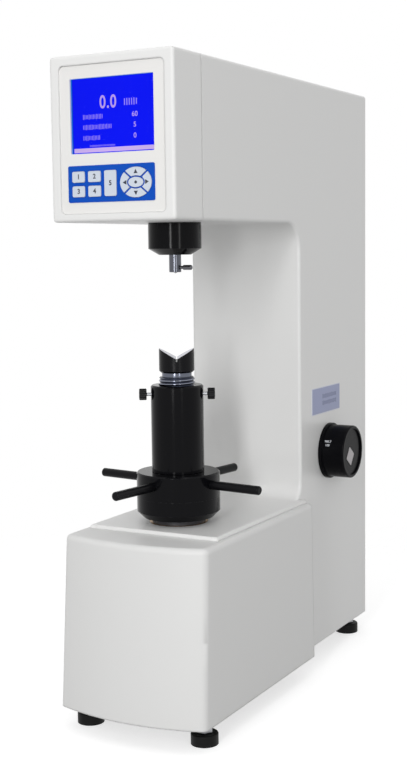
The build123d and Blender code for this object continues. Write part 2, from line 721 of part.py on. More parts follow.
def key_outlines(grow):
    """Name and outline sketch of each key, in the panel's (x, z), grown all round."""
    outlines = []
    number = 1
    for dz in KEY_ROWS:
        for x in KEY_COLUMNS:
            cap = rounded(KEY_WIDTH + 2 * grow, KEY_HEIGHT + 2 * grow, KEY_CORNER + grow,
                          OVERLAY_OFFSET + x, OVERLAY_Z + dz)
            outlines.append((f"key_{number}", cap))
            number += 1
    outlines.append((f"key_{number}", rounded(TALL_KEY_WIDTH + 2 * grow, TALL_KEY_HEIGHT + 2 * grow,
                                              KEY_CORNER + grow, OVERLAY_OFFSET + TALL_KEY_X, OVERLAY_Z)))
    ring = Ellipse(PAD_RX + grow, PAD_RZ + grow) - Ellipse(PAD_HOLE_RX - grow, PAD_HOLE_RZ - grow)
    tilt = math.degrees(math.atan2(PAD_RZ, PAD_RX))
    slot = Rectangle(4 * PAD_RX, PAD_SPLIT - 2 * grow)
    segments = (ring - Rot(0, 0, tilt) * slot - Rot(0, 0, -tilt) * slot).faces()
    names = {"right": (1, 0), "left": (-1, 0), "up": (0, 1), "down": (0, -1)}
    centre = Pos(OVERLAY_OFFSET + PAD_X, OVERLAY_Z)
    for name, (x, z) in names.items():
        face = max(segments, key=lambda f: f.center().X * x + f.center().Y * z)
        outlines.append((f"key_{name}", centre * Sketch([face])))
    outlines.append(("key_enter", centre * Ellipse(ENTER_RX + grow, ENTER_RZ + grow)))
    return outlines


def key_holes(y0, y1, gap):
    """Cutters that clear every key by the given gap."""
    return [plate_y(outline, y0, y1) for _, outline in key_outlines(gap)]


def front_panel():
    """Recessed sheet that carries the screen and the keypad."""
    mid_z = (PANEL_LOW + PANEL_HIGH) / 2
    tall = PANEL_HIGH - PANEL_LOW - 2 * CLEAR
    sheet = rounded(2 * (PANEL_HALF - CLEAR), tall, PANEL_CORNER - CLEAR, 0, mid_z)
    sheet -= rounded(SCREEN_WIDTH, SCREEN_HEIGHT, SCREEN_CORNER, 0, SCREEN_Z)
    return plate_y(sheet, PANEL_Y, PANEL_BACK_Y) - key_holes(PANEL_Y - 1, PANEL_BACK_Y + 1, KEY_GAP)


def keypad_overlay():
    """Blue membrane round the keys."""
    sheet = rounded(OVERLAY_WIDTH, OVERLAY_HEIGHT, OVERLAY_CORNER, OVERLAY_OFFSET, OVERLAY_Z)
    film = plate_y(sheet, PANEL_Y - OVERLAY_THICKNESS, PANEL_Y)
    return film - key_holes(PANEL_Y - 2, PANEL_Y + 1, KEY_GAP)


def keys():
    """Keys with a retaining flange behind the panel."""
    made = {}
    for (name, cap), (_, flange) in zip(key_outlines(0), key_outlines(KEY_FLANGE)):
        made[name] = plate_y(cap, KEY_FACE_Y, KEY_FLANGE_Y) + plate_y(flange, KEY_FLANGE_Y, KEY_BACK_Y)
    return made


def lcd_window():
    """Glass pane behind the panel's opening."""
    width, tall = SCREEN_WIDTH + 2 * PANE_OVERLAP, SCREEN_HEIGHT + 2 * PANE_OVERLAP
    pane = rounded(width, tall, SCREEN_CORNER, 0, SCREEN_Z)
    return plate_y(pane, PANE_Y, PANE_Y + PANE_THICKNESS)


def lcd_module():
    """Display module with a raised metal frame round the glass."""
    width, tall = SCREEN_WIDTH + 2 * MODULE_OVERLAP, SCREEN_HEIGHT + 2 * MODULE_OVERLAP
    full = rounded(width, tall, MODULE_CORNER, 0, SCREEN_Z)
    face = rounded(SCREEN_WIDTH, SCREEN_HEIGHT, MODULE_CORNER / 3, 0, SCREEN_Z)
    body = plate_y(full, MODULE_Y, MODULE_Y + MODULE_DEPTH)
    return body - plate_y(face, MODULE_Y - 1, MODULE_Y + MODULE_FRAME)


def board_extent():
    """Half width, low and high limits of the control board."""
    return HALF - BOARD_MARGIN, PANEL_LOW + BOARD_INSET, PANEL_HIGH - BOARD_INSET


def standoff_places():
    """Axes of the four board standoffs."""
    half, low, high = board_extent()
    inset = STANDOFF_INSET
    return [(x, z) for x in (inset - half, half - inset) for z in (low + inset, high - inset)]


def component(x, z, width, tall, y, depth):
    """Flat component centred at (x, z) on the board's rear face at depth y."""
    return block(x - width / 2, x + width / 2, y, y + depth, z - tall / 2, z + tall / 2)


def control_board():
    """Circuit board with key switches, processor, memory and terminal blocks."""
    half, low, high = board_extent()
    back = BOARD_Y + BOARD_THICKNESS
    board = block(-half, half, BOARD_Y, back, low, high)
    for _, outline in key_outlines(0):
        spot = outline.face().center()
        stem_y = KEY_BACK_Y + KEY_TRAVEL + CLEAR
        board += rod_y(SWITCH_R, spot.X, spot.Y, stem_y, BOARD_Y)
    board += component(0, SCREEN_Z, PROCESSOR_SIDE, PROCESSOR_SIDE, back, CHIP_THICKNESS)
    board += component(MEMORY_X, SCREEN_Z, MEMORY_WIDTH, MEMORY_TALL, back, CHIP_THICKNESS)
    board += component(TERMINAL_X, low + TERMINAL_RISE, TERMINAL_WIDTH, TERMINAL_TALL, back, TERMINAL_DEPTH)
    for i in range(CAPACITOR_COUNT):
        x = CAPACITOR_X + i * CAPACITOR_PITCH
        board += rod_y(CAPACITOR_R, x, SCREEN_Z + CAPACITOR_RISE, back, back + CAPACITOR_LENGTH)
    for x, z in standoff_places():
        board -= rod_y(STANDOFF_R / 2, x, z, BOARD_Y - 1, back + 1)
    return board


def board_standoffs():
    """Hexagonal pillars between the panel and the board."""
    hexagon = extrude(Plane.XZ * RegularPolygon(STANDOFF_R, 6), amount=-(BOARD_Y - PANEL_BACK_Y))
    return [Pos(x, PANEL_BACK_Y, z) * hexagon for x, z in standoff_places()]


# ---------------------------------------------------------------- base housing


def housing_section(z, width, corner, sag, inset):
    """Closed face at height z: straight sides and rear, bulged front."""
    half = width / 2 - inset
    front = FRONT_Y + corner + inset
    rear = COLUMN_Y - CLEAR
    mid = front - sag
    sides = Polyline((-half, front), (-half, rear), (half, rear), (half, front))
    bulge = ThreePointArc((half, front), (0, mid), (-half, front))
    return Pos(0, 0, z) * make_face(sides + bulge)


def housing_body(inset, z0, z1):
    """Tapered block between two heights, inset from the outer skin."""
    span = HOUSING_HEIGHT - GROUND_CLEARANCE
    sections = []
    for z in (z0, z1):
        share = (z - GROUND_CLEARANCE) / span
        width = HOUSING_WIDTH_BOTTOM + share * (HOUSING_WIDTH_TOP - HOUSING_WIDTH_BOTTOM)
        corner = HOUSING_CORNER_BOTTOM + share * (HOUSING_CORNER_TOP - HOUSING_CORNER_BOTTOM)
        sections.append(housing_section(z, width, corner, HOUSING_BULGE, inset))
    return loft(sections)


def base_housing():
    """Moulded skirt round the toe, open below and notched for deck and column."""
    shell = housing_body(0, GROUND_CLEARANCE, HOUSING_HEIGHT)
    upright = [e for e in shell.edges() if e.center().Y < SPINDLE_Y and e.length > HOUSING_HEIGHT / 2
               and abs(e.center().X) > HOUSING_WIDTH_TOP / 4]
    upright = [e for e in upright if e.bounding_box().max.Z - e.bounding_box().min.Z > HOUSING_HEIGHT / 2]
    shell = fillet(upright, HOUSING_CORNER_RADIUS)
    rim = [e for e in shell.edges() if e.bounding_box().min.Z > HOUSING_HEIGHT - 0.01
           and e.center().Y < COLUMN_Y - 1]
    shell = fillet(rim, HOUSING_EDGE)
    shell -= housing_body(HOUSING_WALL, GROUND_CLEARANCE - 1, HOUSING_HEIGHT - HOUSING_WALL) - block(
        -HOUSING_WIDTH_TOP, HOUSING_WIDTH_TOP, COLUMN_Y - HOUSING_WALL, COLUMN_Y + 1, 0, HOUSING_HEIGHT)
    deck_half = DECK_WIDTH / 2 + CLEAR
    shell -= block(-deck_half, deck_half, DECK_Y - CLEAR, COLUMN_Y + 1,
                   DECK_HEIGHT - DECK_THICKNESS, DECK_HEIGHT)
    plinth = PLINTH_WIDTH / 2 + CLEAR
    shell -= block(-plinth, plinth, COLUMN_Y - HOUSING_WALL - 1, COLUMN_Y + 1, 0, HOUSING_HEIGHT)
    sole = SOLE_WIDTH / 2 + CLEAR
    return shell - block(-sole, sole, COLUMN_Y - HOUSING_WALL - 1, COLUMN_Y + 1, 0, SOLE_Z + CLEAR)


# ---------------------------------------------------------------- spindle and indenter


def spindle_cover():
    """Turned shroud under the head."""
    taper_z = COVER_Z + COVER_TAPER
    inner = COVER_R - COVER_WALL
    floor_z = taper_z + COVER_WALL / 2
    return turned([
        (NOSE_R + CLEAR, COVER_Z), (COVER_MOUTH_R, COVER_Z), (COVER_R, taper_z), (COVER_R, HEAD_Z),
        (inner, HEAD_Z), (inner, floor_z), (NOSE_R + CLEAR, floor_z)], SPINDLE_Y)


def spindle_guide():
    """Flanged bronze bush in the head casting."""
    bore = SPINDLE_R + RUNNING
    seat_z = GUIDE_Z - GUIDE_FLANGE + CLEAR
    return turned([(bore, HEAD_Z), (GUIDE_R, HEAD_Z), (GUIDE_R, seat_z), (GUIDE_R + GUIDE_FLANGE, seat_z),
                   (GUIDE_R + GUIDE_FLANGE, GUIDE_Z), (bore, GUIDE_Z)], SPINDLE_Y)


def sensor_arm_z():
    """Underside of the arm that works the displacement sensor."""
    return GUIDE_Z + SPINDLE_TRAVEL + SENSOR_ARM_GAP


def spindle():
    """Ground spindle with its chuck nose, stop collar and sensor arm."""
    step_z = COVER_Z + COVER_TAPER + SPINDLE_STEP
    arm_z = sensor_arm_z()
    shaft = turned([
        (0, NOSE_Z), (NOSE_R - NOSE_CHAMFER, NOSE_Z), (NOSE_R, NOSE_Z + NOSE_CHAMFER), (NOSE_R, step_z),
        (SPINDLE_R, step_z + SPINDLE_STEP_TAPER),
        (SPINDLE_R, arm_z), (GUIDE_R, arm_z), (GUIDE_R, arm_z + SENSOR_ARM),
        (SPINDLE_R, arm_z + SENSOR_ARM), (SPINDLE_R, SPINDLE_TOP), (0, SPINDLE_TOP)], SPINDLE_Y)
    half = SENSOR_ARM_HALF
    shaft += block(0, SENSOR_X, SPINDLE_Y - half, SPINDLE_Y + half, arm_z, arm_z + SENSOR_ARM)
    shaft += rod_z(half, SENSOR_X, SPINDLE_Y, arm_z, arm_z + SENSOR_ARM)
    shaft -= rod_z(INDENTER_SHANK_R, 0, SPINDLE_Y, NOSE_Z - 1, NOSE_Z + INDENTER_SHANK + 1)
    return shaft - rod_x(CLAMP_SHANK_R + RUNNING, SPINDLE_Y, CLAMP_Z, 0, NOSE_R + 1)


def indenter():
    """Diamond cone on a straight shank."""
    return turned([
        (0, TIP_Z), (INDENTER_TIP_R, NOSE_Z), (INDENTER_SHANK_R, NOSE_Z),
        (INDENTER_SHANK_R, NOSE_Z + INDENTER_SHANK), (0, NOSE_Z + INDENTER_SHANK)], SPINDLE_Y)


def clamp_screw():
    """Knurled thumb screw that holds the indenter."""
    shank = rod_x(CLAMP_SHANK_R, SPINDLE_Y, CLAMP_Z, INDENTER_SHANK_R + CLEAR, CLAMP_REACH - 1)
    head = rod_x(CLAMP_HEAD_R, SPINDLE_Y, CLAMP_Z, CLAMP_REACH - CLAMP_HEAD_LENGTH, CLAMP_REACH)
    head = fillet(head.edges().filter_by(GeomType.CIRCLE), CLAMP_HEAD_EDGE)
    return shank + head


# ---------------------------------------------------------------- lever system


def knife(y, z, rise):
    """Prism across the lever with its edge at (y, z); rise is +1 with the edge up."""
    run = KNIFE_HEIGHT * math.tan(math.radians(KNIFE_HALF_ANGLE))
    root = z - rise * KNIFE_HEIGHT
    deep = root - rise * KNIFE_HEIGHT / 2
    points = [(y, z), (y + run, root), (y + run, deep), (y - run, deep), (y - run, root)]
    return prism_x(points, LEVER_WIDTH / 2 - 1)


def lever_top_at(y):
    """Height of the lever's upper face."""
    if y <= LEVER_SHOULDER_Y:
        return LEVER_TOP
    share = (y - LEVER_SHOULDER_Y) / (LEVER_REAR_Y - LEVER_SHOULDER_Y)
    return LEVER_TOP - share * (LEVER_DEPTH_FRONT - LEVER_DEPTH_REAR)


def hanger_edge():
    """Height of the knife edge that carries the weights."""
    return lever_top_at(WEIGHT_Y) + KNIFE_HEIGHT


def hanger_drift():
    """How far the hanger's knife edge swings forwards as the lever tilts fully."""
    arm = WEIGHT_ARM + FULCRUM_ARM
    drop = LEVER_TOP + KNIFE_HEIGHT - hanger_edge()
    return arm * (1 - math.cos(LEVER_TILT)) + drop * math.sin(LEVER_TILT)


def lever_knife_edges():
    """Hardened knives: fulcrum, spindle and weight hanger."""
    return [knife(FULCRUM_Y, LEVER_TOP + KNIFE_HEIGHT, 1),
            knife(SPINDLE_Y, LEVER_Z - KNIFE_HEIGHT, -1),
            knife(WEIGHT_Y, hanger_edge(), 1)]


def main_lever():
    """Tapered I-section beam."""
    beam = prism_x([
        (LEVER_FRONT_Y, LEVER_Z), (LEVER_REAR_Y, LEVER_Z), (LEVER_REAR_Y, lever_top_at(LEVER_REAR_Y)),
        (LEVER_SHOULDER_Y, LEVER_TOP), (LEVER_FRONT_Y, LEVER_TOP)], LEVER_WIDTH / 2)
    low = LEVER_Z + LEVER_FLANGE
    first, last = LEVER_SHOULDER_Y + POCKET_FRONT_MARGIN, WEIGHT_Y - POCKET_REAR_MARGIN
    pocket = prism_x([
        (first, low), (last, low), (last, lever_top_at(last) - LEVER_FLANGE),
        (first, lever_top_at(first) - LEVER_FLANGE)], LEVER_WIDTH)
    web = block(LEVER_POCKET - LEVER_WIDTH / 2, LEVER_WIDTH / 2 - LEVER_POCKET,
                LEVER_FRONT_Y, LEVER_REAR_Y, LEVER_Z, LEVER_TOP)
    return beam - (pocket - web) - lever_knife_edges()


def vee_seat(y, z, depth):
    """Cutter for a knife seat with its valley at (y, z), opening downwards."""
    run = depth * math.tan(math.radians(SEAT_HALF_ANGLE))
    return prism_x([(y, z), (y + run, z - depth), (y - run, z - depth)], HALF)


def fulcrum_block():
    """Bridge across the head with the fulcrum's vee seat underneath."""
    edge_z = FULCRUM_Z
    half = FULCRUM_LENGTH / 2
    low = edge_z - SEAT_LIP
    bridge = block(CLEAR - INNER, INNER - CLEAR, FULCRUM_Y - half, FULCRUM_Y + half,
                   LEDGE_Z, LEDGE_Z + FULCRUM_HEIGHT)
    pad = LEVER_WIDTH / 2 + SEAT_PAD
    bridge += block(-pad, pad, FULCRUM_Y - half, FULCRUM_Y + half, low, LEDGE_Z + 1)
    bridge -= vee_seat(FULCRUM_Y, edge_z, SEAT_DEPTH)
    for side in (-1, 1):
        x = side * (INNER - LEDGE_WIDTH / 2)
        bolt = RegularPolygon(FULCRUM_BOLT_R, 6)
        bridge += extrude(Pos(x, FULCRUM_Y, LEDGE_Z + FULCRUM_HEIGHT) * bolt, amount=FULCRUM_BOLT)
    return bridge


def weight_hanger():
    """Stirrup over the lever, rod and flange that carries the weights."""
    edge_z = hanger_edge() + CLEAR
    inner = LEVER_WIDTH / 2 + STIRRUP_SIDE_GAP
    outer = inner + STIRRUP_PLATE
    half = STIRRUP_LENGTH / 2
    low = LEVER_Z - STIRRUP_DROP
    top = edge_z - SEAT_LIP + STIRRUP_BAR
    loop = block(-outer, outer, WEIGHT_Y - half, WEIGHT_Y + half, low - STIRRUP_BAR, top)
    loop -= block(-inner, inner, WEIGHT_Y - half - 1, WEIGHT_Y + half + 1, low, edge_z - SEAT_LIP)
    loop -= vee_seat(WEIGHT_Y - hanger_drift() / 2, edge_z, SEAT_DEPTH)
    loop += rod_z(HANGER_ROD_R, 0, WEIGHT_Y, HANGER_LOW, low - STIRRUP_BAR)
    return loop + rod_z(HANGER_FLANGE_R, 0, WEIGHT_Y, HANGER_LOW, HANGER_LOW + HANGER_FLANGE)


def weights():
    """Stack of bored discs with eased rims."""
    made = {}
    z = WEIGHT_LOW
    for name, height in zip(("weight_c", "weight_b", "weight_a"), WEIGHT_HEIGHTS):
        top = z + height
        made[name] = turned([
            (WEIGHT_BORE_R, z), (WEIGHT_R - WEIGHT_EDGE, z), (WEIGHT_R, z + WEIGHT_EDGE),
            (WEIGHT_R, top - WEIGHT_EDGE), (WEIGHT_R - WEIGHT_EDGE, top), (WEIGHT_BORE_R, top)], WEIGHT_Y)
        z = top + CLEAR
    return made


def weight_rest():
    """Catch plate with bumpers below the weights and guard posts round them."""
    half = INNER - CLEAR
    spread = CATCH_POST_SPREAD
    reach = spread + CATCH_MARGIN
    plate = block(-half, half, WEIGHT_Y - reach, WEIGHT_Y + reach, CATCH_HEIGHT, CATCH_TOP)
    for x in (-spread, spread):
        for y in (WEIGHT_Y - spread, WEIGHT_Y + spread):
            plate += rod_z(CATCH_POST_R, x, y, CATCH_TOP - 1, WEIGHT_LOW + sum(WEIGHT_HEIGHTS))
    for i in range(BUMPER_COUNT):
        turn = 2 * math.pi * i / BUMPER_COUNT
        x = BUMPER_PITCH_R * math.sin(turn)
        y = BUMPER_PITCH_R * math.cos(turn)
        plate += rod_z(BUMPER_R, x, WEIGHT_Y + y, CATCH_TOP - 1, CATCH_TOP + BUMPER_HEIGHT)
    return plate


# ---------------------------------------------------------------- cam, lifter and motor


def cam_radius(angle):
    """Heart cam: the radius falls evenly with the angle from the peak."""
    return CAM_R_MAX - (CAM_R_MAX - CAM_R_MIN) * abs(angle) / math.pi


def load_cam():
    """Heart cam with its hub on the gearbox shaft."""
    def half_curve(sign):
        points = []
        for step in range(9):
            angle = sign * math.pi * step / 8
            radius = cam_radius(angle)
            points.append((LIFTER_Y + radius * math.sin(angle), CAM_Z + radius * math.cos(angle)))
        return Spline(*points)

    face = make_face(Plane.YZ * (half_curve(1) + half_curve(-1)))
    cam = extrude(face, amount=CAM_WIDTH / 2, both=True)
    cam += rod_x(CAM_HUB_R, LIFTER_Y, CAM_Z, 0, CAM_WIDTH / 2 + CAM_HUB)
    return cam - rod_x(CAM_BORE_R, LIFTER_Y, CAM_Z, -CAM_WIDTH, CAM_WIDTH * 2)


def motor_face_x():
    """Where the bracket plate starts."""
    return CAM_WIDTH / 2 + CAM_HUB + CLEAR


def lifter_rod():
    """Push rod with a rounded foot on the cam."""
    rod = rod_z(LIFTER_R, 0, LIFTER_Y, LIFTER_FOOT + LIFTER_R, LIFTER_TOP)
    return rod + Pos(0, LIFTER_Y, LIFTER_FOOT + LIFTER_R) * Sphere(LIFTER_R)


def motor_bracket():
    """Plate and guide block, bolted to the side of the column."""
    x0 = motor_face_x()
    x1 = x0 + BRACKET_PLATE
    y0, y1 = LIFTER_Y - BRACKET_HALF, LIFTER_Y + BRACKET_HALF
    low = BRACKET_Z + BRACKET_PLATE
    guide_z = LIFTER_FOOT + LIFTER_R + GUIDE_BLOCK_RISE
    plate = block(x0, x1, y0, y1, low, guide_z + GUIDE_BLOCK)
    half = GUIDE_BLOCK_HALF
    plate += block(-GUIDE_BLOCK_REACH, x1, LIFTER_Y - half, LIFTER_Y + half, guide_z, guide_z + GUIDE_BLOCK)
    plate += block(x0, INNER, y0, y1, BRACKET_Z, low)
    plate += block(INNER - BRACKET_PLATE, INNER, y0, y1, BRACKET_Z, low + BRACKET_FLANGE)
    plate -= rod_x(CAM_BORE_R + BRACKET_BORE_MARGIN, LIFTER_Y, CAM_Z, x0 - 1, x1 + 1)
    return plate - rod_z(LIFTER_R + RUNNING, 0, LIFTER_Y, guide_z - 1, guide_z + GUIDE_BLOCK + 1)


def gear_motor():
    """Synchronous motor with gearbox and output shaft."""
    x0 = motor_face_x() + BRACKET_PLATE
    side = GEARBOX_SIDE / 2
    box = block(x0, x0 + GEARBOX_LENGTH, LIFTER_Y - side, LIFTER_Y + side, CAM_Z - side, CAM_Z + side)
    box = fillet(box.edges().filter_by(Axis.X), GEARBOX_EDGE)
    box += rod_x(MOTOR_R, LIFTER_Y, CAM_Z, x0 + GEARBOX_LENGTH, x0 + GEARBOX_LENGTH + MOTOR_LENGTH)
    return box + rod_x(CAM_BORE_R - RUNNING, LIFTER_Y, CAM_Z, -CAM_WIDTH / 2, x0 + 1)


# ---------------------------------------------------------------- load selector


def load_knob():
    """Skirted knob with a recessed face."""
    x0 = HALF + CLEAR
    x1 = x0 + KNOB_LENGTH
    knob = rod_x(KNOB_SKIRT_R, SELECTOR_Y, SELECTOR_HEIGHT, x0, x0 + KNOB_SKIRT)
    knob += rod_x(KNOB_R, SELECTOR_Y, SELECTOR_HEIGHT, x0 + KNOB_SKIRT, x1)
    rim = [e for e in knob.edges().filter_by(GeomType.CIRCLE) if e.center().X > x1 - 0.01]
    knob = fillet(rim, KNOB_EDGE)
    knob -= rod_x(KNOB_R - KNOB_RIM, SELECTOR_Y, SELECTOR_HEIGHT, x1 - KNOB_RECESS, x1 + 1)
    return knob - rod_x(SELECTOR_SHAFT_R, SELECTOR_Y, SELECTOR_HEIGHT, x0 - 1, x0 + KNOB_LENGTH / 2)


def selector_shaft():
    """Shaft with two eccentric cams that choose the weights."""
    end_x = HALF + CLEAR + KNOB_LENGTH / 2
    shaft = rod_x(SELECTOR_SHAFT_R, SELECTOR_Y, SELECTOR_HEIGHT, CLEAR - INNER, end_x)
    half = SELECTOR_CAM_WIDTH / 2
    for turn, x in ((0, -SELECTOR_CAM_PITCH / 2), (120, SELECTOR_CAM_PITCH / 2)):
        y = SELECTOR_Y + SELECTOR_CAM_OFFSET * math.sin(math.radians(turn))
        z = SELECTOR_HEIGHT - SELECTOR_CAM_OFFSET * math.cos(math.radians(turn))
        shaft += rod_x(SELECTOR_CAM_R, y, z, x - half, x + half)
    return shaft


# ---------------------------------------------------------------- elevating screw stack


def handle_axes():
    """Direction angles of the wheel's handles."""
    return [HANDLE_PHASE + 360 / HANDLE_COUNT * i for i in range(HANDLE_COUNT)]


def radial_rod(radius, angle, z, r0, r1):
    """Cylinder that points outwards from the screw's axis."""
    bar = Cylinder(radius, r1 - r0, align=(Align.CENTER, Align.CENTER, Align.MIN))
    return Pos(0, SPINDLE_Y, z) * Rot(0, 0, angle) * Pos(r0, 0, 0) * Rot(0, 90, 0) * bar


def handwheel_ring():
    """Lower ring of the handwheel, bored for the nut."""
    return turned([
        (NUT_R, WHEEL_Z), (WHEEL_R - WHEEL_CHAMFER, WHEEL_Z), (WHEEL_R, WHEEL_Z + WHEEL_CHAMFER),
        (WHEEL_R, HUB_Z), (NUT_R, HUB_Z)], SPINDLE_Y)


def handwheel_hub():
    """Upper drum of the handwheel with the handle sockets."""
    step = HUB_TOP - WHEEL_CAP
    mouth = SCREW_R + WHEEL_CAP_GAP
    drum = turned([
        (NUT_R, HUB_Z), (WHEEL_R, HUB_Z), (WHEEL_R, HUB_TOP - WHEEL_EDGE), (WHEEL_R - WHEEL_EDGE, HUB_TOP),
        (mouth, HUB_TOP), (mouth, step), (NUT_R, step)], SPINDLE_Y)
    for angle in handle_axes():
        drum -= radial_rod(HANDLE_R, angle, HANDLE_Z, WHEEL_R - HANDLE_SOCKET, WHEEL_R + 1)
    return drum


def handwheel_handles():
    """Four bar handles with domed ends."""
    bars = []
    for angle in handle_axes():
        bar = radial_rod(HANDLE_R, angle, HANDLE_Z, WHEEL_R - HANDLE_SOCKET, HANDLE_REACH)
        place = Vector(HANDLE_REACH * math.cos(math.radians(angle)),
                       SPINDLE_Y + HANDLE_REACH * math.sin(math.radians(angle)), HANDLE_Z)
        rings = bar.edges().filter_by(GeomType.CIRCLE)
        tip = [e for e in rings if (e.center(CenterOf.MASS) - place).length < 0.1]
        bars.append(fillet(tip, HANDLE_EDGE))
    return bars


def elevating_nut():
    """Bronze nut pressed into the handwheel."""
    bore = SCREW_R + RUNNING
    top = HUB_TOP - WHEEL_CAP
    return turned([(bore, WHEEL_Z), (NUT_R, WHEEL_Z), (NUT_R, top), (bore, top)], SPINDLE_Y)


def thrust_bearing():
    """Lower race with its ring of balls."""
    race_top = DECK_HEIGHT + BEARING_HEIGHT - BALL_R
    race = turned([
        (BEARING_BORE_R, DECK_HEIGHT), (BEARING_R, DECK_HEIGHT), (BEARING_R, race_top),
        (BEARING_BORE_R, race_top)], SPINDLE_Y)
    pitch = (BEARING_R + BEARING_BORE_R) / 2
    for i in range(BALL_COUNT):
        angle = 2 * math.pi * i / BALL_COUNT
        race += Pos(pitch * math.cos(angle), SPINDLE_Y + pitch * math.sin(angle), race_top) * Sphere(BALL_R)
    return race


def keyway(clearance):
    """Slot down the rear of the screw, or the key that fills it when narrowed."""
    half = KEYWAY_WIDTH / 2 - clearance
    inner = SPINDLE_Y + SCREW_R - KEYWAY_DEPTH + clearance
    return block(-half, half, inner, SPINDLE_Y + SCREW_R + 1, SCREW_LOW - 1, NECK_Z + 1)


def elevating_screw():
    """Screw with its keyway, neck and the socket for the anvil."""
    screw = turned([
        (0, SCREW_LOW), (SCREW_R - SCREW_CHAMFER, SCREW_LOW), (SCREW_R, SCREW_LOW + SCREW_CHAMFER),
        (SCREW_R, NECK_Z - SCREW_CREST), (SCREW_R - SCREW_CREST, NECK_Z), (NECK_R, NECK_Z),
        (NECK_R, SCREW_TOP), (0, SCREW_TOP)],
        SPINDLE_Y)
    screw -= keyway(0) - rod_z(SCREW_R + 5, 0, SPINDLE_Y, SLEEVE_Z, NECK_Z + 5)
    return screw - rod_z(ANVIL_STEM_R + RUNNING, 0, SPINDLE_Y, SCREW_TOP - ANVIL_STEM - 1, SCREW_TOP + 1)


def screw_guide_bush():
    """Keyed bronze bush in the deck."""
    bore = SCREW_R + RUNNING
    flange_z = DECK_HEIGHT - BUSH_FLANGE
    bush = turned([
        (bore, BUSH_Z), (BUSH_R, BUSH_Z), (BUSH_R, flange_z), (BUSH_FLANGE_R, flange_z),
        (BUSH_FLANGE_R, DECK_HEIGHT), (bore, DECK_HEIGHT)], SPINDLE_Y)
    key = keyway(0.1) & block(-HALF, HALF, FRONT_Y, COLUMN_Y, BUSH_Z, flange_z)
    return bush + key


def screw_sleeve():
    """Dust sleeve over the screw, cross-drilled for the thumb screws."""
    edge = SLEEVE_EDGE
    tube = turned([
        (SLEEVE_BORE_R, SLEEVE_Z), (SLEEVE_R, SLEEVE_Z), (SLEEVE_R, SLEEVE_TOP - edge),
        (SLEEVE_R - edge, SLEEVE_TOP), (SLEEVE_BORE_R, SLEEVE_TOP)], SPINDLE_Y)
    return tube - radial_rod(THUMB_SHANK_R + RUNNING, THUMB_ANGLE, THUMB_Z, -SLEEVE_R - 1, SLEEVE_R + 1)


def thumb_screw(angle):
    """Steel stud with a lobed head."""
    r0 = SLEEVE_R + THUMB_STAND
    lobes = Circle(THUMB_HEAD_R - THUMB_FLUTE)
    for i in range(THUMB_LOBES):
        turn = 2 * math.pi * i / THUMB_LOBES
        spot = THUMB_HEAD_R - THUMB_LOBE_R
        lobes += Pos(spot * math.cos(turn), spot * math.sin(turn)) * Circle(THUMB_LOBE_R)
    head = extrude(lobes, amount=THUMB_HEAD)
    ends = [e for e in head.edges() if abs(e.center().Z) < 0.01 or abs(e.center().Z - THUMB_HEAD) < 0.01]
    head = chamfer(ends, THUMB_EDGE)
    head = Pos(0, SPINDLE_Y, THUMB_Z) * Rot(0, 0, angle) * Pos(r0, 0, 0) * Rot(0, 90, 0) * head
    return head + radial_rod(THUMB_SHANK_R, angle, THUMB_Z, SLEEVE_BORE_R + CLEAR, r0 + 1)


def v_anvil():
    """Anvil with a 120 degree vee, relief slot and stem."""
    body = turned([
        (0, ANVIL_Z - ANVIL_STEM), (ANVIL_STEM_R, ANVIL_Z - ANVIL_STEM), (ANVIL_STEM_R, ANVIL_Z),
        (ANVIL_R - ANVIL_CHAMFER, ANVIL_Z), (ANVIL_R, ANVIL_Z + ANVIL_CHAMFER), (ANVIL_R, ANVIL_TOP),
        (0, ANVIL_TOP)], SPINDLE_Y)
    rise = VEE_DEPTH + 5
    run = rise * math.tan(math.radians(VEE_HALF_ANGLE))
    valley = ANVIL_TOP - VEE_DEPTH
    vee = make_face(Polyline((0, valley), (run, valley + rise), (-run, valley + rise), close=True))
    slot = Pos(0, valley + VEE_RELIEF_DEPTH / 2) * Rectangle(VEE_RELIEF, 3 * VEE_RELIEF_DEPTH)
    cutter = extrude(Plane.XZ * (vee + slot), amount=2 * ANVIL_R, both=True)
    return body - Pos(0, SPINDLE_Y, 0) * Rot(0, 0, THUMB_ANGLE) * cutter


# ---------------------------------------------------------------- feet, power and sensor


def foot(x, y):
    """Levelling foot: pad, lock nut and stud."""
    pad = rod_z(FOOT_R, x, y, 0, FOOT_HEIGHT)
    top = [e for e in pad.edges().filter_by(GeomType.CIRCLE) if e.center().Z > 1]
    pad = fillet(top, FOOT_EDGE)
    nut_z = FOOT_HEIGHT + FOOT_NUT_GAP
    pad += extrude(Pos(x, y, nut_z) * RegularPolygon(FOOT_NUT_R, 6), amount=FOOT_NUT)
    return pad + rod_z(FOOT_STUD_R, x, y, FOOT_HEIGHT - 1, GROUND_CLEARANCE + FOOT_STUD)


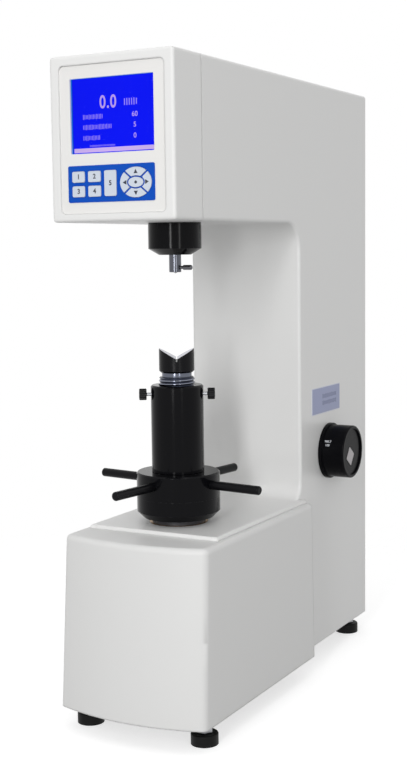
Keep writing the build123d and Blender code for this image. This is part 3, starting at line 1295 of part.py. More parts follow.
def power_module():
    """Inlet and switch housing in the rear cover."""
    half, tall = POWER_WIDTH / 2, POWER_TALL / 2
    face = rounded(POWER_WIDTH, POWER_TALL, POWER_CORNER, POWER_X, POWER_HEIGHT)
    flange = plate_y(face, CAST_REAR_Y, REAR_Y)
    inset = POWER_FLANGE + CLEAR
    flange += block(POWER_X - half + inset, POWER_X + half - inset,
                    CAST_REAR_Y - POWER_BODY_DEPTH, CAST_REAR_Y,
                    POWER_HEIGHT - tall + inset, POWER_HEIGHT + tall - inset)
    socket_z = POWER_HEIGHT - SOCKET_DROP
    floor_y = REAR_Y - SOCKET_DEPTH
    mouth = rounded(SOCKET_WIDTH, SOCKET_TALL, SOCKET_CORNER, POWER_X, socket_z)
    flange -= plate_y(mouth, floor_y, REAR_Y + 1)
    for dx, dz in ((-PIN_PITCH, 0), (0, EARTH_PIN_RISE), (PIN_PITCH, 0)):
        x, z = POWER_X + dx, socket_z + dz
        flange += block(x - PIN_THICKNESS / 2, x + PIN_THICKNESS / 2, floor_y - 1, floor_y + PIN_LENGTH,
                        z - PIN_WIDTH / 2, z + PIN_WIDTH / 2)
    rocker_z = POWER_HEIGHT + ROCKER_RISE
    well = rounded(ROCKER_WIDTH + 2 * CLEAR, ROCKER_TALL + 2 * CLEAR, ROCKER_CORNER, POWER_X, rocker_z)
    return flange - plate_y(well, REAR_Y - ROCKER_WELL, REAR_Y + 1)


def rocker_pivot():
    """Axis of the rocker, as (y, z)."""
    lift = ROCKER_TALL / 2 * math.sin(math.radians(ROCKER_TILT))
    return REAR_Y - ROCKER_THICKNESS / 2 - lift - CLEAR, POWER_HEIGHT + ROCKER_RISE


def rocker():
    """Rocker of the power switch, tilted to its off side."""
    y, z = rocker_pivot()
    half = ROCKER_THICKNESS / 2
    tall = ROCKER_TALL / 2 - ROCKER_END_GAP
    bar = prism_x([
        (-half, -tall), (half, -tall), (half - ROCKER_DISH, 0), (half, tall), (-half, tall)], ROCKER_WIDTH / 2)
    bar += Rot(0, 90, 0) * Cylinder(ROCKER_PIVOT_R, ROCKER_WIDTH)
    return Pos(POWER_X, y, z) * Rot(ROCKER_TILT, 0, 0) * bar


def transformer():
    """Laminated core with its winding, bolted to the sole."""
    y = FRONT_Y + TRANSFORMER_SETBACK
    z0 = SOLE_Z
    core = block(-CORE_WIDTH / 2, CORE_WIDTH / 2, y - CORE_LENGTH / 2, y + CORE_LENGTH / 2,
                 z0, z0 + CORE_HEIGHT)
    winding = block(COIL_MARGIN - CORE_WIDTH / 2, CORE_WIDTH / 2 - COIL_MARGIN,
                    y - CORE_LENGTH / 2 - COIL_BULGE, y + CORE_LENGTH / 2 + COIL_BULGE,
                    z0 + COIL_MARGIN, z0 + CORE_HEIGHT - COIL_MARGIN)
    return core + fillet(winding.edges().filter_by(Axis.X), COIL_EDGE)


def displacement_sensor():
    """Sensor barrel on the head floor with its probe under the spindle's arm."""
    tip_z = sensor_arm_z() - SPINDLE_TRAVEL - SENSOR_TIP_GAP
    half = SENSOR_BASE_HALF
    base = block(SENSOR_X - half, SENSOR_X + half, SPINDLE_Y - half, SPINDLE_Y + half,
                 FLOOR_Z, FLOOR_Z + SENSOR_BASE)
    barrel = rod_z(SENSOR_R, SENSOR_X, SPINDLE_Y, FLOOR_Z + SENSOR_BASE - 1, FLOOR_Z + SENSOR_HEIGHT)
    probe = rod_z(SENSOR_TIP_R, SENSOR_X, SPINDLE_Y, FLOOR_Z + SENSOR_HEIGHT - 1, tip_z)
    sensor = base + barrel + probe
    return sensor - rod_z(GUIDE_BOSS_R + CLEAR, 0, SPINDLE_Y, FLOOR_Z - 1, FLOOR_Z + SENSOR_HEIGHT)


# ---------------------------------------------------------------- assembly


def build():
    """Every node by name."""
    nodes = {
        "frame_casting": frame_casting(),
        "top_cover": top_cover(),
        "rear_cover": rear_cover(),
        "cover_screws": cover_screws(),
        "head_bezel": head_bezel(),
        "front_panel": front_panel(),
        "keypad_overlay": keypad_overlay(),
        "lcd_window": lcd_window(),
        "lcd_module": lcd_module(),
        "control_board": control_board(),
        "board_standoffs": board_standoffs(),
        "base_housing": base_housing(),
        "spindle_cover": spindle_cover(),
        "spindle_guide": spindle_guide(),
        "spindle": spindle(),
        "indenter": indenter(),
        "indenter_clamp_screw": clamp_screw(),
        "main_lever": main_lever(),
        "lever_knife_edges": lever_knife_edges(),
        "fulcrum_block": fulcrum_block(),
        "weight_hanger": weight_hanger(),
        "weight_rest": weight_rest(),
        "load_cam": load_cam(),
        "lifter_rod": lifter_rod(),
        "motor_bracket": motor_bracket(),
        "gear_motor": gear_motor(),
        "load_knob": load_knob(),
        "selector_shaft": selector_shaft(),
        "handwheel_ring": handwheel_ring(),
        "handwheel_hub": handwheel_hub(),
        "handwheel_handles": handwheel_handles(),
        "elevating_nut": elevating_nut(),
        "thrust_bearing": thrust_bearing(),
        "elevating_screw": elevating_screw(),
        "screw_guide_bush": screw_guide_bush(),
        "screw_sleeve": screw_sleeve(),
        "thumb_screw_right": thumb_screw(THUMB_ANGLE),
        "thumb_screw_left": thumb_screw(THUMB_ANGLE + 180),
        "v_anvil": v_anvil(),
        "power_module": power_module(),
        "rocker": rocker(),
        "transformer": transformer(),
        "displacement_sensor": displacement_sensor(),
    }
    nodes.update(weights())
    nodes.update(keys())
    for name, x, y in FEET:
        nodes[name] = foot(x, y)
    return nodes


def main():
    """Write one STEP file per node."""
    os.makedirs("parts", exist_ok=True)
    for name, shape in build().items():
        pieces = shape if isinstance(shape, list) else [shape]
        solids = [solid for piece in pieces for solid in piece.solids()]
        whole = Compound(solids) if len(solids) > 1 else solids[0]
        export_step(whole, f"parts/{name}.step")
        print(name, len(solids), round(sum(solid.volume for solid in solids)))


if __name__ == "__main__":
    main()
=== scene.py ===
"""Bench hardness tester: finishes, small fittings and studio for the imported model.

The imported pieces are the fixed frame. Each sub-assembly below is a class that holds its
sizes, dresses the pieces it owns and builds the fittings that the frame leaves out.
Lengths are written in millimetres and made metres where a mesh takes its place.
"""

import logging
import math
from collections.abc import Mapping, Sequence
from dataclasses import dataclass, replace
from enum import Enum
from functools import lru_cache
from typing import ClassVar

import bmesh
import bpy
from bmesh.types import BMesh, BMVert
from bpy.types import Material, Mesh, Node, NodeSocket, NodeTree, Object
from mathutils import Matrix, Vector


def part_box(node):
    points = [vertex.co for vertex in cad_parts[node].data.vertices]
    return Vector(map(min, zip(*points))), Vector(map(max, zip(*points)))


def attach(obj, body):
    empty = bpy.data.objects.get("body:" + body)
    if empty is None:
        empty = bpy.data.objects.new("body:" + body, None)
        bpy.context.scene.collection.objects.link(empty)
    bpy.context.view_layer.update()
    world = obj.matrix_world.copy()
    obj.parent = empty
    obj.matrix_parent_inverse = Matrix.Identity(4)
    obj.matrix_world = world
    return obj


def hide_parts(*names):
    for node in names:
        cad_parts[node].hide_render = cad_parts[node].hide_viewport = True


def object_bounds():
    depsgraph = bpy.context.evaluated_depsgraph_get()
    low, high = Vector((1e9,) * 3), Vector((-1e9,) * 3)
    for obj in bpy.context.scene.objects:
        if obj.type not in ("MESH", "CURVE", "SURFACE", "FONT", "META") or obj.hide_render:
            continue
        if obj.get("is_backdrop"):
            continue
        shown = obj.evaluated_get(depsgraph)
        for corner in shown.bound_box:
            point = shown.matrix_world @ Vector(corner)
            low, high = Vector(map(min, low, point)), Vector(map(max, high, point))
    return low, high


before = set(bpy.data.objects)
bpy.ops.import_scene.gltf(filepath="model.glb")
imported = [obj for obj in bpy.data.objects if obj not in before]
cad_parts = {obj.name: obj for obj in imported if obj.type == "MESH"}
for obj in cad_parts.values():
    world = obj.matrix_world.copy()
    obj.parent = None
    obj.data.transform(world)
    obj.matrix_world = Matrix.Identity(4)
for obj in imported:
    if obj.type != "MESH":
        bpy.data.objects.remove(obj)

LOG = logging.getLogger("tester")
MM = 0.001
WHITE = (1.0, 1.0, 1.0)

# Points closer than this are one, and edges that bend more than this stay sharp.
WELD = 1e-5
SHARP_EDGE = math.radians(35)
# Cosines of the bend where an edge starts to be rubbed and where it is wholly rubbed, and
# the span of the noise that breaks the rubbed edge up.
EDGE_BEND = (0.995, 0.80)
EDGE_PATCHES = (0.42, 0.62)
# A digit's height and its thickness: the first as a share of the type's size.
DIGIT_SHARE = 0.73
DIGIT_THICKNESS = 0.02
# Most of a side that the rounding of one corner may take.
EASED_SHARE = 0.45
# Rows of the threaded rod's grid past its top, in pitches, where it becomes the socket's
# rim, then its floor, then closes, and past its foot, where it closes.
SOCKET_ROWS = (0.6, 1.2, 1.8)
FOOT_ROWS = -0.6

Colour = tuple[float, float, float]
Point = tuple[float, float, float]
Spot = tuple[float, float]
Setting = NodeSocket | float | int | bool | Sequence[float]


# ---------------------------------------------------------------- colours and places


def srgb(red: int, green: int, blue: int) -> Colour:
    """Turns a display colour of 0 to 255 into the linear one that shaders take."""
    shares = (value / 255 for value in (red, green, blue))
    return tuple(s / 12.92 if s <= 0.04045 else ((s + 0.055) / 1.055) ** 2.4 for s in shares)


def opaque(colour: Colour, share: float = 1.0) -> tuple[float, ...]:
    """Colour with full alpha, made lighter or darker by a share."""
    return (*(min(1.0, value * share) for value in colour), 1.0)


def low_corner(node: str) -> Vector:
    """Lowest corner of a frame piece, in millimetres."""
    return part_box(node)[0] / MM


def high_corner(node: str) -> Vector:
    """Highest corner of a frame piece, in millimetres."""
    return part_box(node)[1] / MM


def middle(node: str) -> Vector:
    """Middle of a frame piece's box, in millimetres."""
    return (low_corner(node) + high_corner(node)) / 2


class Facing(Enum):
    """Direction that a fitting's own +Z points in, as turns about X and then Z."""

    UP = (0.0, 0.0)
    FRONT = (90.0, 0.0)
    REAR = (90.0, 180.0)
    RIGHT = (90.0, 90.0)

    def matrix(self) -> Matrix:
        """Rotation that turns +Z to this direction, with the fitting's +Y kept upwards."""
        tilt, turn = (math.radians(angle) for angle in self.value)
        return Matrix.Rotation(turn, 4, "Z") @ Matrix.Rotation(tilt, 4, "X")


def placed(place: Point, facing: Facing = Facing.UP, roll: float = 0.0) -> Matrix:
    """Where a fitting built in millimetres goes.

    Args:
        place: Its origin, in millimetres.
        facing: Where its +Z points.
        roll: Turn about its own +Z, in degrees.

    Returns:
        The matrix that takes its millimetres to metres in the frame.
    """
    spin = Matrix.Rotation(math.radians(roll), 4, "Z")
    return Matrix.Translation(Vector(place) * MM) @ facing.matrix() @ spin @ Matrix.Scale(MM, 4)


# ---------------------------------------------------------------- node trees


class Wiring:
    """Adds nodes and links to one node tree."""

    def __init__(self, tree: NodeTree) -> None:
        """Takes the tree to work on."""
        self.tree = tree

    def add(self, kind: str, inputs: Mapping[str | int, Setting] | None = None,
            **settings: object) -> Node:
        """Adds one node.

        Args:
            kind: The node's type name.
            inputs: A value or a source socket for each input, by name or number.
            settings: Properties of the node.

        Returns:
            The node.
        """
        node = self.tree.nodes.new(kind)
        for name, value in settings.items():
            setattr(node, name, value)
        for name, value in (inputs or {}).items():
            if isinstance(value, NodeSocket):
                self.tree.links.new(value, node.inputs[name])
            else:
                node.inputs[name].default_value = value
        return node

    def give(self, kind: str, inputs: Mapping[str | int, Setting] | None = None,
             output: str | int = 0, **settings: object) -> NodeSocket:
        """Adds one node and gives one of its outputs, by name or number."""
        return self.add(kind, inputs, **settings).outputs[output]

    def math(self, operation: str, *values: Setting) -> NodeSocket:
        """Adds a Math node on one to three values and gives its result."""
        return self.give("ShaderNodeMath", dict(enumerate(values)), operation=operation)

    def vector(self, operation: str, *values: Setting) -> NodeSocket:
        """Adds a Vector Math node and gives its vector, or its number where it has one."""
        output = "Value" if operation in ("LENGTH", "DOT_PRODUCT") else "Vector"
        return self.give("ShaderNodeVectorMath", dict(enumerate(values)), output,
                         operation=operation)

    def blend(self, share: Setting, low: Setting, high: Setting) -> NodeSocket:
        """Mixes two numbers by a share from 0 to 1."""
        return self.give("ShaderNodeMix", {0: share, 2: low, 3: high}, data_type="FLOAT")

    def tint(self, share: Setting, low: Setting, high: Setting) -> NodeSocket:
        """Mixes two colours by a share from 0 to 1."""
        return self.give("ShaderNodeMix", {0: share, 6: low, 7: high}, 2, data_type="RGBA")

    def ramp(self, value: Setting, start: Setting, end: Setting, low: float = 0.0,
             high: float = 1.0, **settings: object) -> NodeSocket:
        """Takes a number from the span start to end onto the span low to high."""
        spans = {0: value, 1: start, 2: end, 3: low, 4: high}
        return self.give("ShaderNodeMapRange", spans, **settings)

    def noise(self, place: Setting, size: Setting, detail: float, rough: float = 0.5) -> NodeSocket:
        """Adds noise of one size and gives its value from 0 to 1."""
        inputs = {"Vector": place, "Scale": size, "Detail": detail, "Roughness": rough}
        return self.give("ShaderNodeTexNoise", inputs, "Fac")

    def parts(self, vector: Setting) -> Mapping[str, NodeSocket]:
        """Splits a vector and gives its outputs X, Y and Z."""
        return self.add("ShaderNodeSeparateXYZ", {0: vector}).outputs

    def join(self, x: Setting = 0.0, y: Setting = 0.0, z: Setting = 0.0) -> NodeSocket:
        """Makes a vector of three numbers."""
        return self.give("ShaderNodeCombineXYZ", {0: x, 1: y, 2: z})

    def place(self) -> NodeSocket:
        """Gives the object coordinates."""
        return self.give("ShaderNodeTexCoord", output="Object")

    def socket(self, name: str, kind: str, default: Setting | None = None,
               outgoing: bool = False) -> None:
        """Gives the tree a named input or output.

        Args:
            name: The socket's name.
            kind: Its type name.
            default: Its value where nothing is linked.
            outgoing: Whether it is an output.
        """
        way = "OUTPUT" if outgoing else "INPUT"
        made = self.tree.interface.new_socket(name=name, in_out=way, socket_type=kind)
        if default is not None:
            made.default_value = default


class Relief(Enum):
    """Kinds of fine surface, each a shader node group."""

    PEEL = "sprayed_enamel"
    GRAIN = "moulded_grain"
    LATHE = "lathe_marks"
    BRUSH = "ground_lines"
    CAST = "sand_cast_skin"


def slow_tone(wires: Wiring, place: NodeSocket) -> NodeSocket:
    """Adds a tone that changes slowly over a piece."""
    return wires.noise(place, 9.0, 2.0)


@lru_cache(maxsize=None)
def relief_group(relief: Relief) -> NodeTree:
    """Builds the node group of one kind of surface.

    Args:
        relief: The kind of surface.

    Returns:
        A group that takes a Vector and a Scale and gives a Height and a Tone from 0 to 1.
    """
    tree = bpy.data.node_groups.new(relief.value, "ShaderNodeTree")
    wires = Wiring(tree)
    wires.socket("Vector", "NodeSocketVector")
    wires.socket("Scale", "NodeSocketFloat", 100.0)
    wires.socket("Height", "NodeSocketFloat", outgoing=True)
    wires.socket("Tone", "NodeSocketFloat", outgoing=True)
    given = wires.add("NodeGroupInput").outputs
    vector, scale = given["Vector"], given["Scale"]
    if relief is Relief.PEEL:
        tone = slow_tone(wires, vector)
        waves = wires.math("MULTIPLY", tone, 4.0)
        height = wires.math("ADD", wires.noise(vector, scale, 1.0), waves)
    elif relief is Relief.GRAIN:
        pits = wires.give("ShaderNodeTexVoronoi", {"Vector": vector, "Scale": scale}, "Distance",
                          feature="SMOOTH_F1")
        swell = wires.noise(vector, wires.math("MULTIPLY", scale, 0.4), 3.0)
        height = wires.math("ADD", pits, swell)
        tone = wires.noise(vector, 30.0, 4.0, 0.6)
    elif relief is Relief.LATHE:
        parts = wires.parts(vector)
        radius = wires.vector("LENGTH", wires.join(parts["X"], parts["Y"]))
        height = wires.noise(wires.join(radius, 0.0, parts["Z"]), scale, 2.0, 0.7)
        tone = wires.blend(0.5, height, slow_tone(wires, vector))
    elif relief is Relief.BRUSH:
        drawn = wires.vector("MULTIPLY", vector, (1.0, 1.0, 0.03))
        height = wires.noise(drawn, scale, 3.0, 0.7)
        tone = wires.blend(0.4, height, slow_tone(wires, vector))
    else:
        lumps = wires.give("ShaderNodeTexVoronoi", {"Vector": vector, "Scale": scale}, "Distance",
                           feature="F1")
        pores = wires.noise(vector, wires.math("MULTIPLY", scale, 3.0), 5.0, 0.7)
        height = wires.math("ADD", lumps, pores)
        tone = wires.noise(vector, wires.math("MULTIPLY", scale, 0.5), 6.0, 0.7)
    wires.add("NodeGroupOutput", {"Height": height, "Tone": tone})
    return tree


@lru_cache(maxsize=None)
def edge_group() -> NodeTree:
    """Builds the group that finds edges.

    Returns:
        A group that takes a Vector, a Width in metres and a Break and gives a Mask of rubbed
        edges and a Normal rounded over them.
    """
    tree = bpy.data.node_groups.new("rubbed_edges", "ShaderNodeTree")
    wires = Wiring(tree)
    wires.socket("Vector", "NodeSocketVector")
    wires.socket("Width", "NodeSocketFloat", 0.0005)
    wires.socket("Break", "NodeSocketFloat", 300.0)
    wires.socket("Mask", "NodeSocketFloat", outgoing=True)
    wires.socket("Normal", "NodeSocketVector", outgoing=True)
    given = wires.add("NodeGroupInput").outputs
    rounded = wires.give("ShaderNodeBevel", {"Radius": given["Width"]}, samples=6)
    flat = wires.give("ShaderNodeNewGeometry", output="Normal")
    sharp = wires.ramp(wires.vector("DOT_PRODUCT", rounded, flat), *EDGE_BEND)
    patchy = wires.ramp(wires.noise(given["Vector"], given["Break"], 4.0), *EDGE_PATCHES)
    wires.add("NodeGroupOutput", {"Mask": wires.math("MULTIPLY", sharp, patchy), "Normal": rounded})
    return tree


# ---------------------------------------------------------------- finishes


@dataclass(frozen=True)
class Surface:
    """What a face can be covered with.

    Args:
        name: The material's name.
        colour: Its main colour.
    """

    name: str
    colour: Colour

    def material(self) -> Material:
        """Gives the material, made on first use.

        Returns:
            The material.
        """
        made = bpy.data.materials.get(self.name)
        if made is None:
            made = bpy.data.materials.new(self.name)
            made.use_nodes = True
            made.diffuse_color = opaque(self.colour)
            made.node_tree.nodes.clear()
            wires = Wiring(made.node_tree)
            wires.add("ShaderNodeOutputMaterial", {"Surface": self.shade(wires)})
        return made

    def shade(self, wires: Wiring) -> NodeSocket:
        """Adds the surface's nodes to its material and gives the shader."""
        raise NotImplementedError

    def dress(self, *nodes: str) -> None:
        """Covers frame pieces.

        Args:
            nodes: Their names.
        """
        for name in nodes:
            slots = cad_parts[name].data.materials
            slots.clear()
            slots.append(self.material())
            LOG.info("%s: %s", name, self.name)


class ZoneKind(Enum):
    """What sets a zone off from the rest of a finish."""

    ABOVE = "height along the axis"
    BEYOND = "distance from the axis"
    SLOPING = "faces between level and upright"


@dataclass(frozen=True)
class Zone:
    """Part of a piece in another colour: bare metal, or thread crests with a painted highlight.

    Args:
        kind: What sets it off.
        start: Where it begins, in millimetres, or the steepest face it takes.
        end: Where it ends.
        colour: Its colour.
        roughness: Its roughness.
    """

    kind: ZoneKind
    start: float
    end: float
    colour: Colour
    roughness: float

    def mask(self, wires: Wiring, place: NodeSocket) -> NodeSocket:
        """Adds the nodes that find the zone.

        Args:
            wires: The material's tree.
            place: Coordinates about the finish's axis.

        Returns:
            A value that is 1 inside the zone and 0 outside it.
        """
        unit = MM
        if self.kind is ZoneKind.SLOPING:
            level = wires.parts(wires.give("ShaderNodeNewGeometry", output="True Normal"))["Z"]
            unit = 1.0
        elif self.kind is ZoneKind.BEYOND:
            parts = wires.parts(place)
            level = wires.vector("LENGTH", wires.join(parts["X"], parts["Y"]))
        else:
            level = wires.parts(place)["Z"]
        after = wires.math("GREATER_THAN", level, self.start * unit)
        return wires.math("MULTIPLY", after, wires.math("LESS_THAN", level, self.end * unit))


@dataclass(frozen=True)
class Finish(Surface):
    """Paint, plating or bare metal with its fine surface, tone and edges.

    Args:
        roughness: Its main roughness.
        metallic: Share of metal.
        relief: Its kind of fine surface.
        scale: Size of the fine surface, in waves per metre.
        depth: Height of the fine surface, in millimetres.
        spread: How far the colour strays, as a share.
        gloss_spread: How far the roughness strays.
        coat: Weight of the clear coat.
        edge: Width of softened edges, in millimetres, or 0.
        wear: Colour that edges are rubbed to, if they are.
        axis: Direction of the axis that the fine surface turns about.
        centre: A point on that axis, in millimetres.
        zone: A part of it that is bare metal, or crests with a painted highlight, if there is one.
        specular: Strength of the plain reflection.
    """

    roughness: float
    metallic: float = 0.0
    relief: Relief = Relief.GRAIN
    scale: float = 900.0
    depth: float = 0.02
    spread: float = 0.06
    gloss_spread: float = 0.06
    coat: float = 0.0
    edge: float = 0.0
    wear: Colour | None = None
    axis: Facing = Facing.UP
    centre: Point = (0.0, 0.0, 0.0)
    zone: Zone | None = None
    specular: float = 0.5

    COAT_ROUGHNESS: ClassVar[float] = 0.08
    LEAST_ROUGHNESS: ClassVar[float] = 0.02

    def shade(self, wires: Wiring) -> NodeSocket:
        """Adds the finish's nodes.

        Args:
            wires: The material's tree.

        Returns:
            The shader.
        """
        place = self._axis_place(wires)
        pattern = {"Vector": place, "Scale": self.scale}
        fine = wires.add("ShaderNodeGroup", pattern, node_tree=relief_group(self.relief)).outputs
        colour = wires.tint(fine["Tone"], opaque(self.colour, 1 - self.spread),
                            opaque(self.colour, 1 + self.spread))
        smoothest = max(self.LEAST_ROUGHNESS, self.roughness - self.gloss_spread)
        rough = wires.blend(fine["Tone"], smoothest, self.roughness + self.gloss_spread)
        metal: Setting = self.metallic
        bump = {"Height": fine["Height"], "Distance": self.depth * MM}
        # The zone is bare metal, or on the thread its crests brightened as a painted highlight.
        if self.zone:
            mask = self.zone.mask(wires, place)
            colour = wires.tint(mask, colour, opaque(self.zone.colour))
            rough = wires.blend(mask, rough, self.zone.roughness)
            if self.metallic < 1.0:
                metal = wires.blend(mask, self.metallic, 1.0)
        if self.edge:
            width = {"Vector": place, "Width": self.edge * MM}
            edges = wires.add("ShaderNodeGroup", width, node_tree=edge_group()).outputs
            bump["Normal"] = edges["Normal"]
            if self.wear:
                colour = wires.tint(edges["Mask"], colour, opaque(self.wear))
        return wires.give("ShaderNodeBsdfPrincipled", {
            "Base Color": colour, "Roughness": rough, "Metallic": metal,
            "Specular IOR Level": self.specular, "Coat Weight": self.coat,
            "Coat Roughness": self.COAT_ROUGHNESS, "Normal": wires.give("ShaderNodeBump", bump)})

    def _axis_place(self, wires: Wiring) -> NodeSocket:
        """Object coordinates, centred on the axis and turned so that it is Z.

        Args:
            wires: The material's tree.

        Returns:
            The coordinates.
        """
        centred = wires.vector("SUBTRACT", wires.place(), Vector(self.centre) * MM)
        if self.axis is Facing.UP:
            return centred
        turn = self.axis.matrix().inverted().to_euler()
        return wires.give("ShaderNodeMapping", {"Vector": centred, "Rotation": turn})


@dataclass(frozen=True)
class Glow(Surface):
    """Lit face of a display.

    Args:
        fade: Share by which it falls off in soft patches.
    """

    fade: float = 0.12

    PATCHES: ClassVar[float] = 14.0

    def shade(self, wires: Wiring) -> NodeSocket:
        """Adds the glow's nodes.

        Args:
            wires: The material's tree.

        Returns:
            The shader.
        """
        patch = wires.noise(wires.place(), self.PATCHES, 1.0)
        light = wires.tint(patch, opaque(self.colour, 1 - self.fade), opaque(self.colour))
        return wires.give("ShaderNodeBsdfPrincipled", {
            "Base Color": (0.0, 0.0, 0.0, 1.0), "Roughness": 0.6, "Specular IOR Level": 0.0,
            "Emission Color": light, "Emission Strength": 1.0})


@dataclass(frozen=True)
class ClearPane(Surface):
    """Thin clear pane, a little smeared.

    Args:
        roughness: Its main roughness.
        smears: Size of the smears, in waves per metre.
    """

    roughness: float = 0.03
    smears: float = 60.0

    def shade(self, wires: Wiring) -> NodeSocket:
        """Adds the pane's nodes.

        Args:
            wires: The material's tree.

        Returns:
            The shader.
        """
        smear = wires.noise(wires.place(), self.smears, 3.0)
        return wires.give("ShaderNodeBsdfPrincipled", {
            "Base Color": opaque(self.colour), "IOR": 1.02, "Transmission Weight": 1.0,
            "Roughness": wires.blend(smear, self.roughness / 2, self.roughness * 2),
            "Specular IOR Level": 0.1})


@dataclass(frozen=True)
class StudioFloor(Surface):
    """Floor that shows only the soft shadow on a white ground.

    Args:
        clear: Distances over which it fades out, in metres.
        glow: Light that it gives off, so that it meets the white ground.
        dull: Its brightness as the tester sees it.
    """

    clear: Spot
    glow: float = 0.62
    dull: float = 0.4

    def shade(self, wires: Wiring) -> NodeSocket:
        """Adds the floor's nodes.

        Args:
            wires: The material's tree.

        Returns:
            The shader.
        """
        path = wires.add("ShaderNodeLightPath").outputs
        away = wires.vector("LENGTH", wires.place())
        gone = wires.ramp(away, *self.clear, interpolation_type="SMOOTHSTEP")
        seen = wires.give("ShaderNodeBsdfPrincipled", {
            "Base Color": opaque(self.colour), "Roughness": 0.9, "Specular IOR Level": 0.0,
            "Emission Color": opaque(WHITE), "Emission Strength": self.glow})
        unseen = wires.give("ShaderNodeBsdfDiffuse", {"Color": opaque(WHITE, self.dull)})
        ground = wires.give("ShaderNodeMixShader", {0: path["Is Camera Ray"], 1: unseen, 2: seen})
        share = wires.math("MAXIMUM", path["Is Glossy Ray"], gone)
        clear = wires.give("ShaderNodeBsdfTransparent")
        return wires.give("ShaderNodeMixShader", {0: share, 1: ground, 2: clear})


BLACK = (0.0032, 0.0032, 0.0042)
STEEL = (0.56, 0.57, 0.60)
RUBBED_STEEL = srgb(120, 120, 124)
RUBBED_BLACK = srgb(62, 62, 66)
SPINDLE_AXIS = (0.0, middle("spindle_cover").y, 0.0)
KNOB_AXIS = (0.0, middle("load_knob").y, middle("load_knob").z)
WEIGHT_AXIS = (0.0, middle("weight_a").y, 0.0)

ENAMEL = Finish("ivory_enamel", srgb(232, 232, 231), 0.36, relief=Relief.PEEL, scale=420.0,
                depth=0.006, spread=0.008, gloss_spread=0.03, coat=0.06, edge=2.0)
SHEET_ENAMEL = Finish("ivory_sheet_enamel", srgb(235, 235, 234), 0.40, relief=Relief.PEEL,
                      scale=520.0, depth=0.005, spread=0.008, gloss_spread=0.03, coat=0.06,
                      edge=1.0)
MOTOR_GREY = Finish("grey_motor_enamel", (0.22, 0.23, 0.25), 0.4, relief=Relief.CAST, depth=0.01,
                    edge=0.4)
MOULDED = Finish("white_moulding", srgb(235, 235, 234), 0.42, scale=1400.0, depth=0.006,
                 spread=0.006, gloss_spread=0.03, edge=3.0)
# The base housing takes a darker copy of the white moulding so that it reads darker low down:
# painted shade.
SHADED_BASE_MOULDING = replace(MOULDED, name="base_moulding_painted_shade", colour=srgb(225, 225, 224))
PANEL_SHEET = Finish("white_panel_film", srgb(236, 235, 233), 0.48, scale=2200.0, depth=0.004,
                     spread=0.004, edge=0.3)
BLUE_FILM = Finish("blue_membrane", srgb(4, 78, 188), 0.38, scale=2600.0, depth=0.004, spread=0.05,
                   edge=0.2, specular=0.15)
KEY_CAP = Finish("pale_key_film", srgb(208, 216, 228), 0.38, scale=2600.0, depth=0.004, spread=0.02,
                 edge=0.25)
PRINT_DARK = Finish("dark_print", srgb(40, 44, 60), 0.5, scale=2600.0, depth=0.002)
PRINT_WHITE = Finish("white_print", srgb(205, 208, 214), 0.45, scale=2600.0, depth=0.002)
CIRCUIT = Finish("green_solder_mask", (0.012, 0.10, 0.045), 0.35, scale=1500.0, depth=0.01,
                 spread=0.2)
INLET = Finish("inlet_moulding", (0.010, 0.010, 0.011), 0.42, scale=2000.0, depth=0.01, spread=0.3,
               edge=0.3)
BLACK_BAR = Finish("black_handle", BLACK, 0.30, scale=1500.0, depth=0.004, spread=0.3, edge=0.5,
                   specular=0.12)
THUMB = Finish("thumb_screw", BLACK, 0.32, scale=1800.0, depth=0.006, spread=0.3, edge=0.4,
               centre=SPINDLE_AXIS, zone=Zone(ZoneKind.BEYOND, 0.0, 32.6, STEEL, 0.22),
               specular=0.2)
RUBBER = Finish("black_rubber", (0.004, 0.004, 0.004), 0.5, scale=1600.0, spread=0.3, edge=0.5,
                zone=Zone(ZoneKind.ABOVE, 12.5, 60.0, (0.42, 0.43, 0.45), 0.35), specular=0.14)
BLACK_TURNED = Finish("black_turned", BLACK, 0.12, relief=Relief.LATHE, scale=2600.0, depth=0.001,
                      spread=0.25, gloss_spread=0.03, edge=0.4, wear=RUBBED_BLACK,
                      centre=SPINDLE_AXIS, specular=0.09)
BLACK_KNOB = Finish("black_knob", BLACK, 0.28, relief=Relief.LATHE, scale=1900.0, depth=0.003,
                    spread=0.3, edge=0.4, axis=Facing.RIGHT, centre=KNOB_AXIS, specular=0.05)
ANVIL_BLACK = Finish("blacked_anvil", BLACK, 0.26, relief=Relief.LATHE, scale=2600.0, depth=0.004,
                     spread=0.25, edge=0.3, wear=RUBBED_STEEL, centre=SPINDLE_AXIS,
                     zone=Zone(ZoneKind.SLOPING, 0.6, 0.95, (0.42, 0.42, 0.50), 0.24),
                     specular=0.12)
# Ground steel darkened well below plain steel, so that it shows dark tones between the lamps'
# highlights: painted dark reflection.
GROUND = Finish("ground_shaft_dark_reflection", (0.11, 0.115, 0.135), 0.12, metallic=1.0, relief=Relief.LATHE,
                scale=5200.0, depth=0.0002, spread=0.10, gloss_spread=0.02, edge=0.3,
                centre=SPINDLE_AXIS)
# The neck's steel is darkened the same way: painted dark reflection.
NECK = Finish("ground_neck_dark_reflection", (0.13, 0.14, 0.175), 0.16, metallic=1.0, relief=Relief.LATHE,
              scale=5200.0, depth=0.0003, spread=0.08, gloss_spread=0.02, centre=SPINDLE_AXIS)
